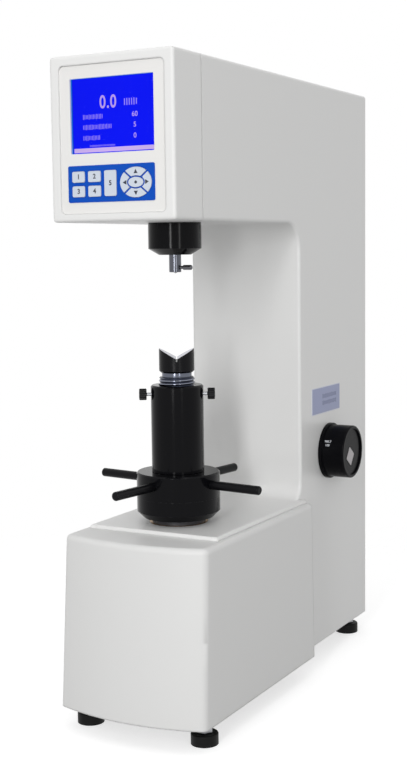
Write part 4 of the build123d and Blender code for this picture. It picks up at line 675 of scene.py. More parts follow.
# Thread steel darkened below plain steel as painted dark reflection; its zone paints the crests
# brighter than the grooves: a painted highlight on the crests and painted shade in the grooves.
THREADED = Finish("thread_steel_painted_light", (0.035, 0.04, 0.06), 0.30, metallic=1.0,
                  relief=Relief.LATHE, scale=4200.0, depth=0.002, spread=0.10, gloss_spread=0.05,
                  centre=SPINDLE_AXIS,
                  zone=Zone(ZoneKind.BEYOND, 18.75, 25.0, (0.22, 0.235, 0.29), 0.18))
HARDENED = Finish("hardened_steel", (0.58, 0.59, 0.62), 0.14, metallic=1.0, relief=Relief.LATHE,
                  scale=4200.0, depth=0.002, spread=0.05, gloss_spread=0.03, edge=0.2,
                  centre=SPINDLE_AXIS)
BRONZE = Finish("turned_bronze", (0.58, 0.37, 0.17), 0.28, metallic=1.0, relief=Relief.LATHE,
                scale=3200.0, depth=0.005, spread=0.1, gloss_spread=0.05, edge=0.3,
                centre=SPINDLE_AXIS)
# Blackened iron of the weights; on the thrust bearing the same dark finish is painted shade.
BLACKENED_IRON_AND_SHADE = Finish("blackened_iron_and_painted_shade", (0.045, 0.045, 0.05), 0.42, metallic=0.6, relief=Relief.LATHE,
                    scale=1800.0, depth=0.01, spread=0.25, gloss_spread=0.08, edge=0.6,
                    wear=RUBBED_STEEL, centre=WEIGHT_AXIS)
MACHINED = Finish("machined_surface", (0.46, 0.46, 0.48), 0.34, metallic=1.0, relief=Relief.BRUSH,
                  scale=2400.0, depth=0.006, spread=0.12, gloss_spread=0.06, edge=0.4)
CLAMP = Finish("clamp_screw_steel", (0.11, 0.11, 0.12), 0.22, metallic=1.0, relief=Relief.BRUSH,
               scale=3000.0, depth=0.004, spread=0.15, gloss_spread=0.05, edge=0.3)
ZINC = Finish("zinc_plate", (0.56, 0.57, 0.58), 0.38, metallic=1.0, relief=Relief.CAST, scale=900.0,
              depth=0.003, spread=0.12, gloss_spread=0.08, edge=0.3)
LAMINATED = Finish("varnished_core", (0.10, 0.085, 0.075), 0.4, metallic=0.4, relief=Relief.BRUSH,
                   scale=1600.0, depth=0.05, spread=0.35, gloss_spread=0.1, axis=Facing.FRONT)
LABEL = Finish("blue_grey_plate", srgb(150, 158, 194), 0.36, relief=Relief.BRUSH, scale=1800.0,
               depth=0.004, spread=0.05, edge=0.15)
LABEL_RIM = Finish("pale_plate_rim", srgb(214, 216, 228), 0.36, relief=Relief.BRUSH, scale=1800.0,
                   depth=0.004)
LABEL_PRINT = Finish("plate_print", srgb(84, 92, 128), 0.45, relief=Relief.BRUSH, scale=1800.0,
                     depth=0.002)
BADGE = Finish("satin_badge", srgb(176, 172, 174), 0.4, relief=Relief.LATHE, scale=1500.0,
               depth=0.004, spread=0.05, edge=0.2, axis=Facing.RIGHT, centre=KNOB_AXIS)
SCREEN_FIELD = Glow("screen_field", srgb(16, 26, 250))
SCREEN_EDGE = Glow("screen_edge", srgb(22, 128, 250), 0.35)
SCREEN_MARK = Glow("screen_mark", srgb(188, 160, 240))
SCREEN_TEXT = Glow("screen_text", srgb(160, 142, 250), 0.2)
SCREEN_BAR = Glow("screen_bar", srgb(214, 186, 250), 0.3)
PANE = ClearPane("display_pane", (0.98, 0.99, 1.0))


# ---------------------------------------------------------------- fittings


def keep(mesh: Mesh, name: str, body: str, stands_for: Sequence[str] = ()) -> None:
    """Makes a finished mesh a piece of the tester.

    Args:
        mesh: The mesh, in metres and in its place.
        name: The piece's name.
        body: The body that it moves with.
        stands_for: Frame pieces that it is shown instead of.
    """
    mesh.name = name
    piece = linked(name, mesh)
    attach(piece, body)
    if stands_for:
        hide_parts(*stands_for)
    LOG.info("%s: %d faces on %s", name, len(mesh.polygons), body)


def linked(name: str, data: bpy.types.ID) -> Object:
    """Puts an object in the scene.

    Args:
        name: Its name.
        data: Its mesh, curve, lamp or camera.

    Returns:
        The object.
    """
    made = bpy.data.objects.new(name, data)
    bpy.context.scene.collection.objects.link(made)
    return made


def evaluated_mesh(holder: Object) -> Mesh:
    """Turns what an object comes to, with its modifiers, into a plain mesh.

    Args:
        holder: The object, which is removed.

    Returns:
        The mesh.
    """
    bpy.context.view_layer.update()
    mesh = bpy.data.meshes.new_from_object(
        holder.evaluated_get(bpy.context.evaluated_depsgraph_get()))
    holder.modifiers.clear()
    bpy.data.objects.remove(holder)
    return mesh


def meshed(shape: BMesh, surface: Surface, place: Matrix, smooth: bool = False) -> Mesh:
    """Closes a bmesh into a mesh with a finish.

    Args:
        shape: The shape, in millimetres.
        surface: What covers it.
        place: Where it goes.
        smooth: Whether its faces are shaded smoothly between sharp edges.

    Returns:
        The mesh, with its normals outwards.
    """
    bmesh.ops.remove_doubles(shape, verts=shape.verts, dist=WELD)
    bmesh.ops.recalc_face_normals(shape, faces=shape.faces)
    mesh = bpy.data.meshes.new("shape")
    shape.to_mesh(mesh)
    shape.free()
    mesh.transform(place)
    mesh.materials.append(surface.material())
    if smooth:
        mesh.shade_smooth()
        mesh.set_sharp_from_angle(angle=SHARP_EDGE)
    return mesh


def slab(outline: Sequence[Spot], thickness: float) -> BMesh:
    """Plate with a closed outline.

    Args:
        outline: Points round it, in its own XY.
        thickness: How far it stands up along +Z.

    Returns:
        The closed shape.
    """
    shape = bmesh.new()
    base = shape.faces.new([shape.verts.new((x, y, 0.0)) for x, y in outline])
    raised = bmesh.ops.extrude_face_region(shape, geom=[base])
    tops = [item for item in raised["geom"] if isinstance(item, BMVert)]
    bmesh.ops.translate(shape, verts=tops, vec=(0.0, 0.0, thickness))
    return shape


def disc(radius: float, count: int = 40) -> list[Spot]:
    """Points round a circle."""
    turns = (2 * math.pi * i / count for i in range(count))
    return [(radius * math.cos(t), radius * math.sin(t)) for t in turns]


def oblong(width: float, height: float, corner: float = 0.0, steps: int = 5) -> list[Spot]:
    """Points round a rectangle.

    Args:
        width: Its width.
        height: Its height.
        corner: Radius of its corners, or 0.
        steps: Steps in each rounded corner.

    Returns:
        The points, one for each square corner.
    """
    points = []
    for quarter, (sx, sy) in enumerate(((1, 1), (-1, 1), (-1, -1), (1, -1))):
        for step in range(steps + 1 if corner else 1):
            turn = math.pi / 2 * (quarter + step / steps)
            points.append((sx * (width / 2 - corner) + corner * math.cos(turn),
                           sy * (height / 2 - corner) + corner * math.sin(turn)))
    return points


def ring_strip(rings: Sequence[Sequence[Point]]) -> BMesh:
    """Joins rings of points, each to the next and the last to the first.

    Args:
        rings: The rings, all with as many points.

    Returns:
        The closed shape.
    """
    shape = bmesh.new()
    made = [[shape.verts.new(point) for point in ring] for ring in rings]
    for here, there in zip(made, made[1:] + made[:1]):
        for i, corner in enumerate(here):
            j = (i + 1) % len(here)
            shape.faces.new([corner, here[j], there[j], there[i]])
    return shape


def band(width: float, height: float, corner: float, wide: float, thickness: float) -> BMesh:
    """Flat frame round an opening, standing up along +Z.

    Args:
        width: Width of the opening.
        height: Height of the opening.
        corner: Radius of its corners.
        wide: Width of the frame.
        thickness: Thickness of the frame.

    Returns:
        The closed shape.
    """
    inner = oblong(width, height, corner)
    outer = oblong(width + 2 * wide, height + 2 * wide, corner + wide)
    levels = ((inner, 0.0), (outer, 0.0), (outer, thickness), (inner, thickness))
    return ring_strip([[(x, y, z) for x, y in outline] for outline, z in levels])


def turned(profile: Sequence[Spot], count: int = 96) -> BMesh:
    """Turns a closed profile about +Z.

    Args:
        profile: Its points (radius, height), all off the axis.
        count: Steps round.

    Returns:
        The closed shape.
    """
    turns = [2 * math.pi * step / count for step in range(count)]
    return ring_strip([[(r * math.cos(t), r * math.sin(t), z) for r, z in profile] for t in turns])


def eased(points: Sequence[Spot], radius: float, steps: int = 4) -> list[Spot]:
    """Rounds every corner of a closed profile.

    Args:
        points: Corners of the profile.
        radius: Radius of the rounding, limited by the profile's own sides.
        steps: Steps in each rounding.

    Returns:
        The rounded profile.
    """
    made = []
    for index, corner in enumerate(points):
        here = Vector(corner)
        back = Vector(points[index - 1]) - here
        ahead = Vector(points[(index + 1) % len(points)]) - here
        cut = min(radius, back.length * EASED_SHARE, ahead.length * EASED_SHARE)
        start, end = here + back.normalized() * cut, here + ahead.normalized() * cut
        for step in range(steps + 1):
            t = step / steps
            made.append(tuple((1 - t) ** 2 * start + 2 * t * (1 - t) * here + t * t * end))
    return made


def numeral(text: str, height: float, bold: float = 0.0, spacing: float = 1.0) -> Mesh:
    """Plain number as a thin mesh in its own XY, in millimetres.

    Args:
        text: Digits and points only.
        height: Height of a digit.
        bold: How far its strokes are widened on each side.
        spacing: Room between digits, as a share of the plain one.

    Returns:
        The mesh, centred.
    """
    curve = bpy.data.curves.new("numeral", "FONT")
    curve.body, curve.size = text, height / DIGIT_SHARE
    curve.align_x, curve.align_y = "CENTER", "CENTER"
    curve.extrude, curve.offset, curve.space_character = DIGIT_THICKNESS, bold, spacing
    mesh = evaluated_mesh(linked("numeral", curve))
    bpy.data.curves.remove(curve)
    return mesh


def joined(meshes: Sequence[Mesh], surface: Surface) -> Mesh:
    """Joins placed meshes into one.

    Args:
        meshes: The meshes, in metres, which are removed.
        surface: What covers the whole.

    Returns:
        The mesh.
    """
    shape = bmesh.new()
    for mesh in meshes:
        shape.from_mesh(mesh)
        bpy.data.meshes.remove(mesh)
    return meshed(shape, surface, Matrix.Identity(4))


# ---------------------------------------------------------------- geometry node trees


class Growth:
    """A geometry node tree with named inputs, and the mesh that it gives."""

    def __init__(self, name: str, **inputs: float | int) -> None:
        """Starts the tree.

        Args:
            name: The tree's name.
            inputs: Its inputs with their defaults, with underscores for spaces.
        """
        self.tree = bpy.data.node_groups.new(name, "GeometryNodeTree")
        self.wires = Wiring(self.tree)
        self.wires.socket("Geometry", "NodeSocketGeometry", outgoing=True)
        for title, default in inputs.items():
            kind = "NodeSocketInt" if isinstance(default, int) else "NodeSocketFloat"
            self.wires.socket(title.replace("_", " "), kind, default)
        self.wires.socket("Material", "NodeSocketMaterial")
        self.given = self.wires.add("NodeGroupInput").outputs

    def spread(self, points: NodeSocket, instance: NodeSocket, **turns: NodeSocket) -> None:
        """Puts copies of a shape on points and ends the tree with them.

        Args:
            points: The points.
            instance: The shape.
            turns: The copies' Scale or Rotation.
        """
        inputs = {"Points": points, "Instance": instance, **turns}
        self.close(self.wires.give("GeometryNodeInstanceOnPoints", inputs), smooth=False)

    def close(self, geometry: NodeSocket, smooth: bool = True) -> None:
        """Ends the tree with real meshes and their material.

        Args:
            geometry: What the tree gives.
            smooth: Whether its faces are shaded smoothly.
        """
        give = self.wires.give
        whole = give("GeometryNodeRealizeInstances", {0: geometry})
        shaded = give("GeometryNodeSetShadeSmooth", {"Geometry": whole, "Shade Smooth": smooth})
        dressed = give("GeometryNodeSetMaterial",
                       {"Geometry": shaded, "Material": self.given["Material"]})
        self.wires.add("NodeGroupOutput", {0: dressed})

    def mesh(self, surface: Surface, place: Matrix, **values: float | int) -> Mesh:
        """Runs the tree once.

        Args:
            surface: What covers the result.
            place: Where it goes.
            values: The inputs by name, with underscores for spaces.

        Returns:
            A plain mesh in its place.
        """
        holder = linked("growth", bpy.data.meshes.new("growth"))
        modifier = holder.modifiers.new("growth", "NODES")
        modifier.node_group = self.tree
        named = {name.replace("_", " "): value for name, value in values.items()}
        named["Material"] = surface.material()
        for item in self.tree.interface.items_tree:
            if item.in_out == "INPUT" and item.name in named:
                modifier[item.identifier] = named[item.name]
        made = evaluated_mesh(holder)
        made.transform(place)
        return made


@lru_cache(maxsize=None)
def row_growth() -> Growth:
    """Builds the tree for a row of thin strokes of uneven height along +X.

    Returns:
        The tree.
    """
    growth = Growth("print_row", Count=7, Pitch=3.0, Width=2.0, Height=5.0, Seed=1)
    wires, given = growth.wires, growth.given
    line = wires.give("GeometryNodeMeshLine", {
        "Count": given["Count"], "Offset": wires.join(given["Pitch"])}, mode="OFFSET")
    size = wires.join(given["Width"], given["Height"], 0.05)
    uneven = wires.give("FunctionNodeRandomValue", {2: 0.72, 3: 1.0, "Seed": given["Seed"]}, 1,
                        data_type="FLOAT")
    growth.spread(line, wires.give("GeometryNodeMeshCube", {"Size": size}, "Mesh"),
                  Scale=wires.join(1.0, uneven, 1.0))
    return growth


@lru_cache(maxsize=None)
def cross_growth() -> Growth:
    """Builds the tree for the painted shade in a screw head's cross recess, as two crossed bars.

    Returns:
        The tree.
    """
    growth = Growth("cross_recess_shade", Reach=4.0, Width=0.9)
    wires, given = growth.wires, growth.given
    line = wires.give("GeometryNodeMeshLine", {"Count": 2, "Offset": (0.0, 0.0, 0.0)},
                      mode="OFFSET")
    size = wires.join(given["Reach"], given["Width"], 0.1)
    turn = wires.math("MULTIPLY", wires.give("GeometryNodeInputIndex"), math.pi / 2)
    growth.spread(line, wires.give("GeometryNodeMeshCube", {"Size": size}, "Mesh"),
                  Rotation=wires.join(0.0, 0.0, turn))
    return growth


@lru_cache(maxsize=None)
def helix_growth() -> Growth:
    """Builds the tree for a threaded rod with a socket in its top and a keyway behind.

    A flat grid is rolled up: its X runs once round and its Y from end to end, and each turn
    of X lifts the grid by one pitch, so that its rows follow the thread.

    Returns:
        The tree.
    """
    growth = Growth("threaded_rod", Radius=19.5, Length=100.0, Pitch=3.5, Depth=1.6, Flat=0.3,
                    Turns=32, Steps=8, Around=64, Run_Out=1.0, Socket_Radius=9.0,
                    Socket_Depth=20.0, Key_Width=6.0, Key_Floor=16.5, Key_Top=50.0)
    wires, given = growth.wires, growth.given
    calc = wires.math
    pitch, turns, length = given["Pitch"], given["Turns"], given["Length"]
    rows = calc("ADD", calc("MULTIPLY", turns, given["Steps"]), 1.0)
    grid = wires.give("GeometryNodeMeshGrid", {
        "Size X": 1.0, "Size Y": 1.0, "Vertices X": calc("ADD", given["Around"], 1.0),
        "Vertices Y": rows}, "Mesh")
    spot = wires.parts(wires.give("GeometryNodeInputPosition"))
    turn = calc("MULTIPLY", calc("ADD", spot["X"], 0.5), 2 * math.pi)
    rise = calc("MULTIPLY", calc("ADD", spot["Y"], 0.5), turns)
    spare = calc("DIVIDE", calc("SUBTRACT", turns, calc("DIVIDE", length, pitch)), 2.0)
    height = calc("MULTIPLY", calc("SUBTRACT", calc("ADD", rise, spot["X"]), spare), pitch)
    above = calc("SUBTRACT", height, length)

    wave = calc("MULTIPLY_ADD", calc("FRACT", calc("ADD", rise, 0.0001)), 2.0, -1.0)
    groove = wires.ramp(calc("ABSOLUTE", wave), given["Flat"],
                        calc("SUBTRACT", 1.0, given["Flat"]))
    room = calc("MINIMUM", height, calc("MULTIPLY", above, -1.0))
    ending = wires.ramp(room, 0.0, given["Run Out"], 1.0, 0.0)
    cut = calc("MULTIPLY", calc("MAXIMUM", groove, ending), given["Depth"])

    bored, sunk, shut = (calc("GREATER_THAN", above, calc("MULTIPLY", pitch, share))
                         for share in SOCKET_ROWS)
    foot = calc("LESS_THAN", height, calc("MULTIPLY", pitch, FOOT_ROWS))
    radius = wires.blend(bored, calc("SUBTRACT", given["Radius"], cut), given["Socket Radius"])
    radius = calc("MULTIPLY", radius, calc("SUBTRACT", 1.0, calc("MAXIMUM", shut, foot)))
    level = calc("MAXIMUM", 0.0, calc("MINIMUM", height, length))
    level = calc("SUBTRACT", level, calc("MULTIPLY", sunk, given["Socket Depth"]))

    across = calc("MULTIPLY", radius, calc("COSINE", turn))
    deep = calc("MULTIPLY", radius, calc("SINE", turn))
    narrow = calc("LESS_THAN", calc("ABSOLUTE", across), calc("DIVIDE", given["Key Width"], 2.0))
    keyed = calc("MULTIPLY", narrow, calc("LESS_THAN", level, given["Key Top"]))
    deep = wires.blend(keyed, deep, calc("MINIMUM", deep, given["Key Floor"]))
    moved = wires.give("GeometryNodeSetPosition",
                       {"Geometry": grid, "Position": wires.join(across, deep, level)})
    growth.close(wires.give("GeometryNodeMergeByDistance", {"Geometry": moved, "Distance": 0.002}))
    return growth


@dataclass(frozen=True)
class PrintRow:
    """Row of thin strokes in the place of a line of print.

    Args:
        start: Middle of its first stroke, in its own XY.
        tall: Height of the tallest stroke.
        count: Number of strokes.
        pitch: Distance from one stroke to the next.
        share: Width of a stroke, as a share of the pitch.
    """

    start: Spot
    tall: float
    count: int
    pitch: float
    share: float = 0.4

    def mesh(self, surface: Surface, place: Matrix, seed: int) -> Mesh:
        """Runs the row's tree.

        Args:
            surface: What covers the strokes.
            place: Where the row's XY goes.
            seed: Seed of their uneven heights.

        Returns:
            The strokes.
        """
        return row_growth().mesh(
            surface, place @ Matrix.Translation((*self.start, 0.0)), Count=self.count,
            Pitch=self.pitch, Width=self.pitch * self.share, Height=self.tall, Seed=seed)


# ---------------------------------------------------------------- sub-assemblies


class SubAssembly:
    """Pieces that are dressed, and get their fittings, together."""

    FINISHES: ClassVar[Mapping[Surface, Sequence[str]]] = {}

    def build(self) -> None:
        """Dresses the frame's pieces and adds the fittings."""
        for surface, nodes in self.FINISHES.items():
            surface.dress(*nodes)
        self.fit()

    def fit(self) -> None:
        """Adds the fittings, where there are any."""


@dataclass
class MachineBody(SubAssembly):
    """Casting, covers and moulded base, with the plain plate on the right side.

    Args:
        plate_low: Lowest and foremost corner of the plate (y, z).
        plate_high: Highest and rearmost corner of the plate (y, z).
        side: Half width of the column.
        thickness: Thickness of the plate.
        border: Width of the rim that shows round its field.
        corners: Radii of the plate's and the field's corners.
        film: Thickness of the field.
        print_lift: How far the strokes stand before the plate.
        rows: Rows of strokes, from the plate's middle.
        seed: Seed of the first row.
    """

    FINISHES = {
        ENAMEL: ("frame_casting",), SHEET_ENAMEL: ("top_cover", "rear_cover"),
        MOULDED: ("head_bezel",), SHADED_BASE_MOULDING: ("base_housing",), ZINC: ("cover_screws",)}

    plate_low: Spot = (71.7, 307.5)
    plate_high: Spot = (157.4, 340.0)
    side: float = 71.5
    thickness: float = 0.4
    border: float = 1.0
    corners: Spot = (1.0, 0.6)
    film: float = 0.05
    print_lift: float = 0.06
    rows: Sequence[PrintRow] = (PrintRow((-10.4, 4.5), 5.8, 14, 3.1, 0.42),
                                PrintRow((-10.4, -3.7), 5.8, 14, 3.1, 0.42))
    seed: int = 20

    def fit(self) -> None:
        """Adds the plate: a pale rim, a blue-grey field and strokes in the place of print."""
        deep, tall = (high - low for low, high in zip(self.plate_low, self.plate_high))
        rim = slab(oblong(deep, tall, self.corners[0]), self.thickness)
        lit = oblong(deep - 2 * self.border, tall - 2 * self.border, self.corners[1])
        lines = self._before(self.thickness + self.print_lift)
        rows = [row.mesh(LABEL_PRINT, lines, self.seed + i) for i, row in enumerate(self.rows)]
        for name, mesh in (
                ("rim", meshed(rim, LABEL_RIM, self._before(0.0))),
                ("field", meshed(slab(lit, self.film), LABEL, self._before(self.thickness))),
                ("rows", joined(rows, LABEL_PRINT))):
            keep(mesh, f"side_plate_{name}", "frame")

    def _before(self, lift: float) -> Matrix:
        """Place of the plate's middle, at a distance out from the column's side."""
        along, up = ((low + high) / 2 for low, high in zip(self.plate_low, self.plate_high))
        return placed((self.side + lift, along, up), Facing.RIGHT)


@dataclass
class DisplayHead(SubAssembly):
    """Display, membrane keypad and their marks.

    Args:
        half_width: Half width of the lit picture.
        low: Its lowest height.
        high: Its highest height.
        face: Depth of the display's face.
        film: Thickness of the picture and of its rim.
        ink: Thickness of the bar and of the printed marks.
        rim: Width of the lit rim round the picture.
        rim_corner: Radius of the corners inside it.
        rim_lift: How far the rim stands before the face.
        picture_lift: How far the picture does.
        bar_lift: How far the bar does.
        text_lift: How far the strokes and numbers do.
        bar: Place of the bar (x, z).
        bar_sides: Its width and height.
        rows: Rows of strokes, by their place (x, z).
        seed: Seed of the first row.
        reading: Number of the main reading.
        reading_place: Its middle (x, z).
        reading_height: Height of its digits.
        reading_width: Share that its digits are narrowed to.
        reading_bold: How far their strokes are widened on each side.
        reading_spacing: Room between them, as a share of the plain one.
        values: Number, place along x and height of the values in the first rows.
        value_bold: How far their strokes are widened.
        gasket: Width of the cord round the front panel.
        gasket_thickness: Its thickness.
        gasket_depth: How far its back lies behind the panel's face.
        gasket_room: How much wider its opening is than the panel.
        panel_corner: Radius of the panel's corners.
        arrow: Corners of an arrow that points right.
        dot: Radius of the last key's dot.
        numbered: How many keys carry a number.
        digit: Height of a key's number.
        digit_bold: How far its strokes are widened.
        digit_lift: How far it stands before the key.
    """

    FINISHES = {
        PANEL_SHEET: ("front_panel",), BLUE_FILM: ("keypad_overlay",),
        KEY_CAP: tuple(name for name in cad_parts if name.startswith("key_")),
        INLET: ("lcd_module",), PANE: ("lcd_window",), CIRCUIT: ("control_board",),
        ZINC: ("board_standoffs",)}

    half_width: float = 48.1
    low: float = 603.6
    high: float = 676.9
    face: float = -244.1
    film: float = 0.04
    ink: float = 0.05
    rim: float = 3.2
    rim_corner: float = 0.3
    rim_lift: float = 0.62
    picture_lift: float = 0.08
    bar_lift: float = 0.13
    text_lift: float = 0.14
    bar: Spot = (0.5, 606.9)
    bar_sides: Spot = (95.0, 4.2)
    rows: Sequence[PrintRow] = (
        PrintRow((-35.45, 639.5), 5.2, 14, 1.7), PrintRow((-35.45, 629.4), 5.2, 20, 1.7),
        PrintRow((-35.45, 618.9), 5.2, 12, 1.7), PrintRow((12.85, 651.8), 7.2, 6, 2.7),
        PrintRow((-28.125, 611.0), 2.0, 24, 1.25))
    seed: int = 7
    reading: str = "0.0"
    reading_place: Spot = (-6.4, 652.6)
    reading_height: float = 12.8
    reading_width: float = 0.84
    reading_bold: float = 0.3
    reading_spacing: float = 1.12
    values: Sequence[tuple[str, float, float]] = (
        ("60", 24.2, 5.0), ("5", 24.2, 5.0), ("0", 24.2, 5.0))
    value_bold: float = 0.06
    gasket: float = 0.24
    gasket_thickness: float = 0.6
    gasket_depth: float = 0.8
    gasket_room: float = 0.04
    panel_corner: float = 5.0
    arrow: Sequence[Spot] = ((2.6, 0.0), (-1.6, 2.3), (-1.6, -2.3))
    dot: float = 1.5
    numbered: int = 5
    digit: float = 4.8
    digit_bold: float = 0.2
    digit_lift: float = 0.02

    def fit(self) -> None:
        """Adds the cord, the picture, its numbers and the marks on the keys."""
        self._gasket()
        self._picture()
        self._numbers()
        for name in (f"key_{number}" for number in range(1, self.numbered + 1)):
            mark = numeral(name[-1], self.digit, self.digit_bold)
            mark.transform(self._key_face(name, lift=self.digit_lift))
            keep(joined([mark], PRINT_DARK), f"{name}_mark", name)
        for turn, name in enumerate(("key_right", "key_up", "key_left", "key_down")):
            mark = meshed(slab(self.arrow, self.ink), PRINT_DARK, self._key_face(name, 90.0 * turn))
            keep(mark, f"{name}_arrow", name)
        mark = slab(disc(self.dot), self.ink)
        keep(meshed(mark, PRINT_DARK, self._key_face("key_enter")), "key_enter_dot", "key_enter")

    def _gasket(self) -> None:
        """Pale cord that fills the gap round the front panel."""
        low, high = low_corner("front_panel"), high_corner("front_panel")
        width, tall = high.x - low.x + self.gasket_room, high.z - low.z + self.gasket_room
        place = placed((0.0, low.y + self.gasket_depth, (low.z + high.z) / 2), Facing.FRONT)
        ring = band(width, tall, self.panel_corner, self.gasket, self.gasket_thickness)
        keep(meshed(ring, MOULDED, place, smooth=True), "panel_gasket", "frame")

    def _picture(self) -> None:
        """Lit picture with its rim, its rows of strokes and its bar."""
        width, tall, centre = 2 * self.half_width, self.high - self.low, (self.high + self.low) / 2
        rim = band(width, tall, self.rim_corner, self.rim, self.film)
        picture = slab(oblong(width, tall), self.film)
        bar = slab(oblong(*self.bar_sides), self.ink)
        text = self._front(lift=self.text_lift)
        rows = [row.mesh(SCREEN_TEXT, text, self.seed + i) for i, row in enumerate(self.rows)]
        for name, mesh in (
                ("border", meshed(rim, SCREEN_EDGE, self._front(0.0, centre, self.rim_lift))),
                ("picture", meshed(picture, SCREEN_FIELD,
                                   self._front(0.0, centre, self.picture_lift))),
                ("rows", joined(rows, SCREEN_TEXT)),
                ("bar", meshed(bar, SCREEN_BAR, self._front(*self.bar, self.bar_lift)))):
            keep(mesh, f"screen_{name}", "frame")

    def _numbers(self) -> None:
        """The reading, and the values at the ends of the first rows."""
        reading = numeral(self.reading, self.reading_height, self.reading_bold,
                          self.reading_spacing)
        narrow = Matrix.Diagonal((self.reading_width, 1.0, 1.0, 1.0))
        reading.transform(self._front(*self.reading_place, self.text_lift) @ narrow)
        meshes = [reading]
        for (text, x, height), row in zip(self.values, self.rows):
            value = numeral(text, height, self.value_bold)
            value.transform(self._front(x, row.start[1], self.text_lift))
            meshes.append(value)
        keep(joined(meshes, SCREEN_MARK), "screen_numbers", "frame")

    def _front(self, x: float = 0.0, z: float = 0.0, lift: float = 0.0) -> Matrix:
        """Place on the display's face, or a little before it."""
        return placed((x, self.face - lift, z), Facing.FRONT)

    def _key_face(self, key: str, roll: float = 0.0, lift: float = 0.0) -> Matrix:
        """Place on the middle of a key's face, or a little before it."""
        centre = middle(key)
        return placed((centre.x, low_corner(key).y - lift, centre.z), Facing.FRONT, roll)


class SpindleNose(SubAssembly):
    """Spindle, its cover, guide, chuck screw and indenter."""

    FINISHES = {
        BLACK_TURNED: ("spindle_cover",), GROUND: ("spindle",), HARDENED: ("indenter",),
        CLAMP: ("indenter_clamp_screw",), BRONZE: ("spindle_guide",),
        ZINC: ("displacement_sensor",)}


@dataclass
class ElevatingStack(SubAssembly):
    """Screw, anvil, sleeve and thumb screws.

    Args:
        pitch: Pitch of the thread.
        depth: Depth of the thread.
        crest: Share of the pitch that its flat crest takes on each side.
        low: Lowest height of the thread.
        neck: Height where the thread ends.
        top: Top of the neck.
        radius: Outer radius of the thread.
        neck_radius: Radius of the neck.
        neck_foot: How far the neck reaches down into the thread's end.
        ease: Radius of the neck's eased edges.
        run_out: Length over which the thread runs out at its ends.
        spare_turns: Turns of the grid beyond the thread, for its ends and the socket.
        steps: Rows of faces in one turn.
        around: Faces round one turn.
        socket: Radius of the anvil's socket.
        socket_low: Floor of the socket.
        key_width: Width of the keyway.
        key_floor: Distance of its floor from the axis.
        key_top: Height where it ends.
    """

    FINISHES = {
        ANVIL_BLACK: ("v_anvil",), BLACK_TURNED: ("screw_sleeve",),
        THUMB: ("thumb_screw_right", "thumb_screw_left")}

    pitch: float = 3.5
    depth: float = 1.35
    crest: float = 0.28
    low: float = 72.0
    neck: float = 371.3
    top: float = 376.1
    radius: float = 19.45
    neck_radius: float = 16.1
    neck_foot: float = 0.4
    ease: float = 0.4
    run_out: float = 1.2
    spare_turns: int = 6
    steps: int = 8
    around: int = 64
    socket: float = 9.05
    socket_low: float = 353.2
    key_width: float = 6.1
    key_floor: float = 16.45
    key_top: float = 268.0

    def fit(self) -> None:
        """Adds the threaded screw with its keyway and socket, and its neck."""
        length = self.neck - self.low
        rod = helix_growth().mesh(
            THREADED, placed((0.0, SPINDLE_AXIS[1], self.low)), Radius=self.radius,
            Length=length, Pitch=self.pitch, Depth=self.depth, Flat=self.crest,
            Turns=math.ceil(length / self.pitch) + self.spare_turns, Steps=self.steps,
            Around=self.around, Run_Out=self.run_out, Socket_Radius=self.socket,
            Socket_Depth=self.neck - self.socket_low, Key_Width=self.key_width,
            Key_Floor=self.key_floor, Key_Top=self.key_top - self.low)
        keep(rod, "threaded_screw", "screw", ("elevating_screw",))
        foot, head = -self.neck_foot, self.top - self.neck
        profile = eased([(self.socket, foot), (self.neck_radius, foot),
                         (self.neck_radius, head), (self.socket, head)], self.ease)
        place = placed((0.0, SPINDLE_AXIS[1], self.neck))
        keep(meshed(turned(profile), NECK, place, smooth=True), "screw_neck", "screw")


class Handwheel(SubAssembly):
    """Wheel, hub, handles and the nut that they turn."""

    # The thrust bearing takes the weights' dark iron so that it reads dark under the wheel: painted
    # shade.
    FINISHES = {
        BLACK_TURNED: ("handwheel_ring", "handwheel_hub"), BLACK_BAR: ("handwheel_handles",),
        BRONZE: ("elevating_nut", "screw_guide_bush"), BLACKENED_IRON_AND_SHADE: ("thrust_bearing",)}


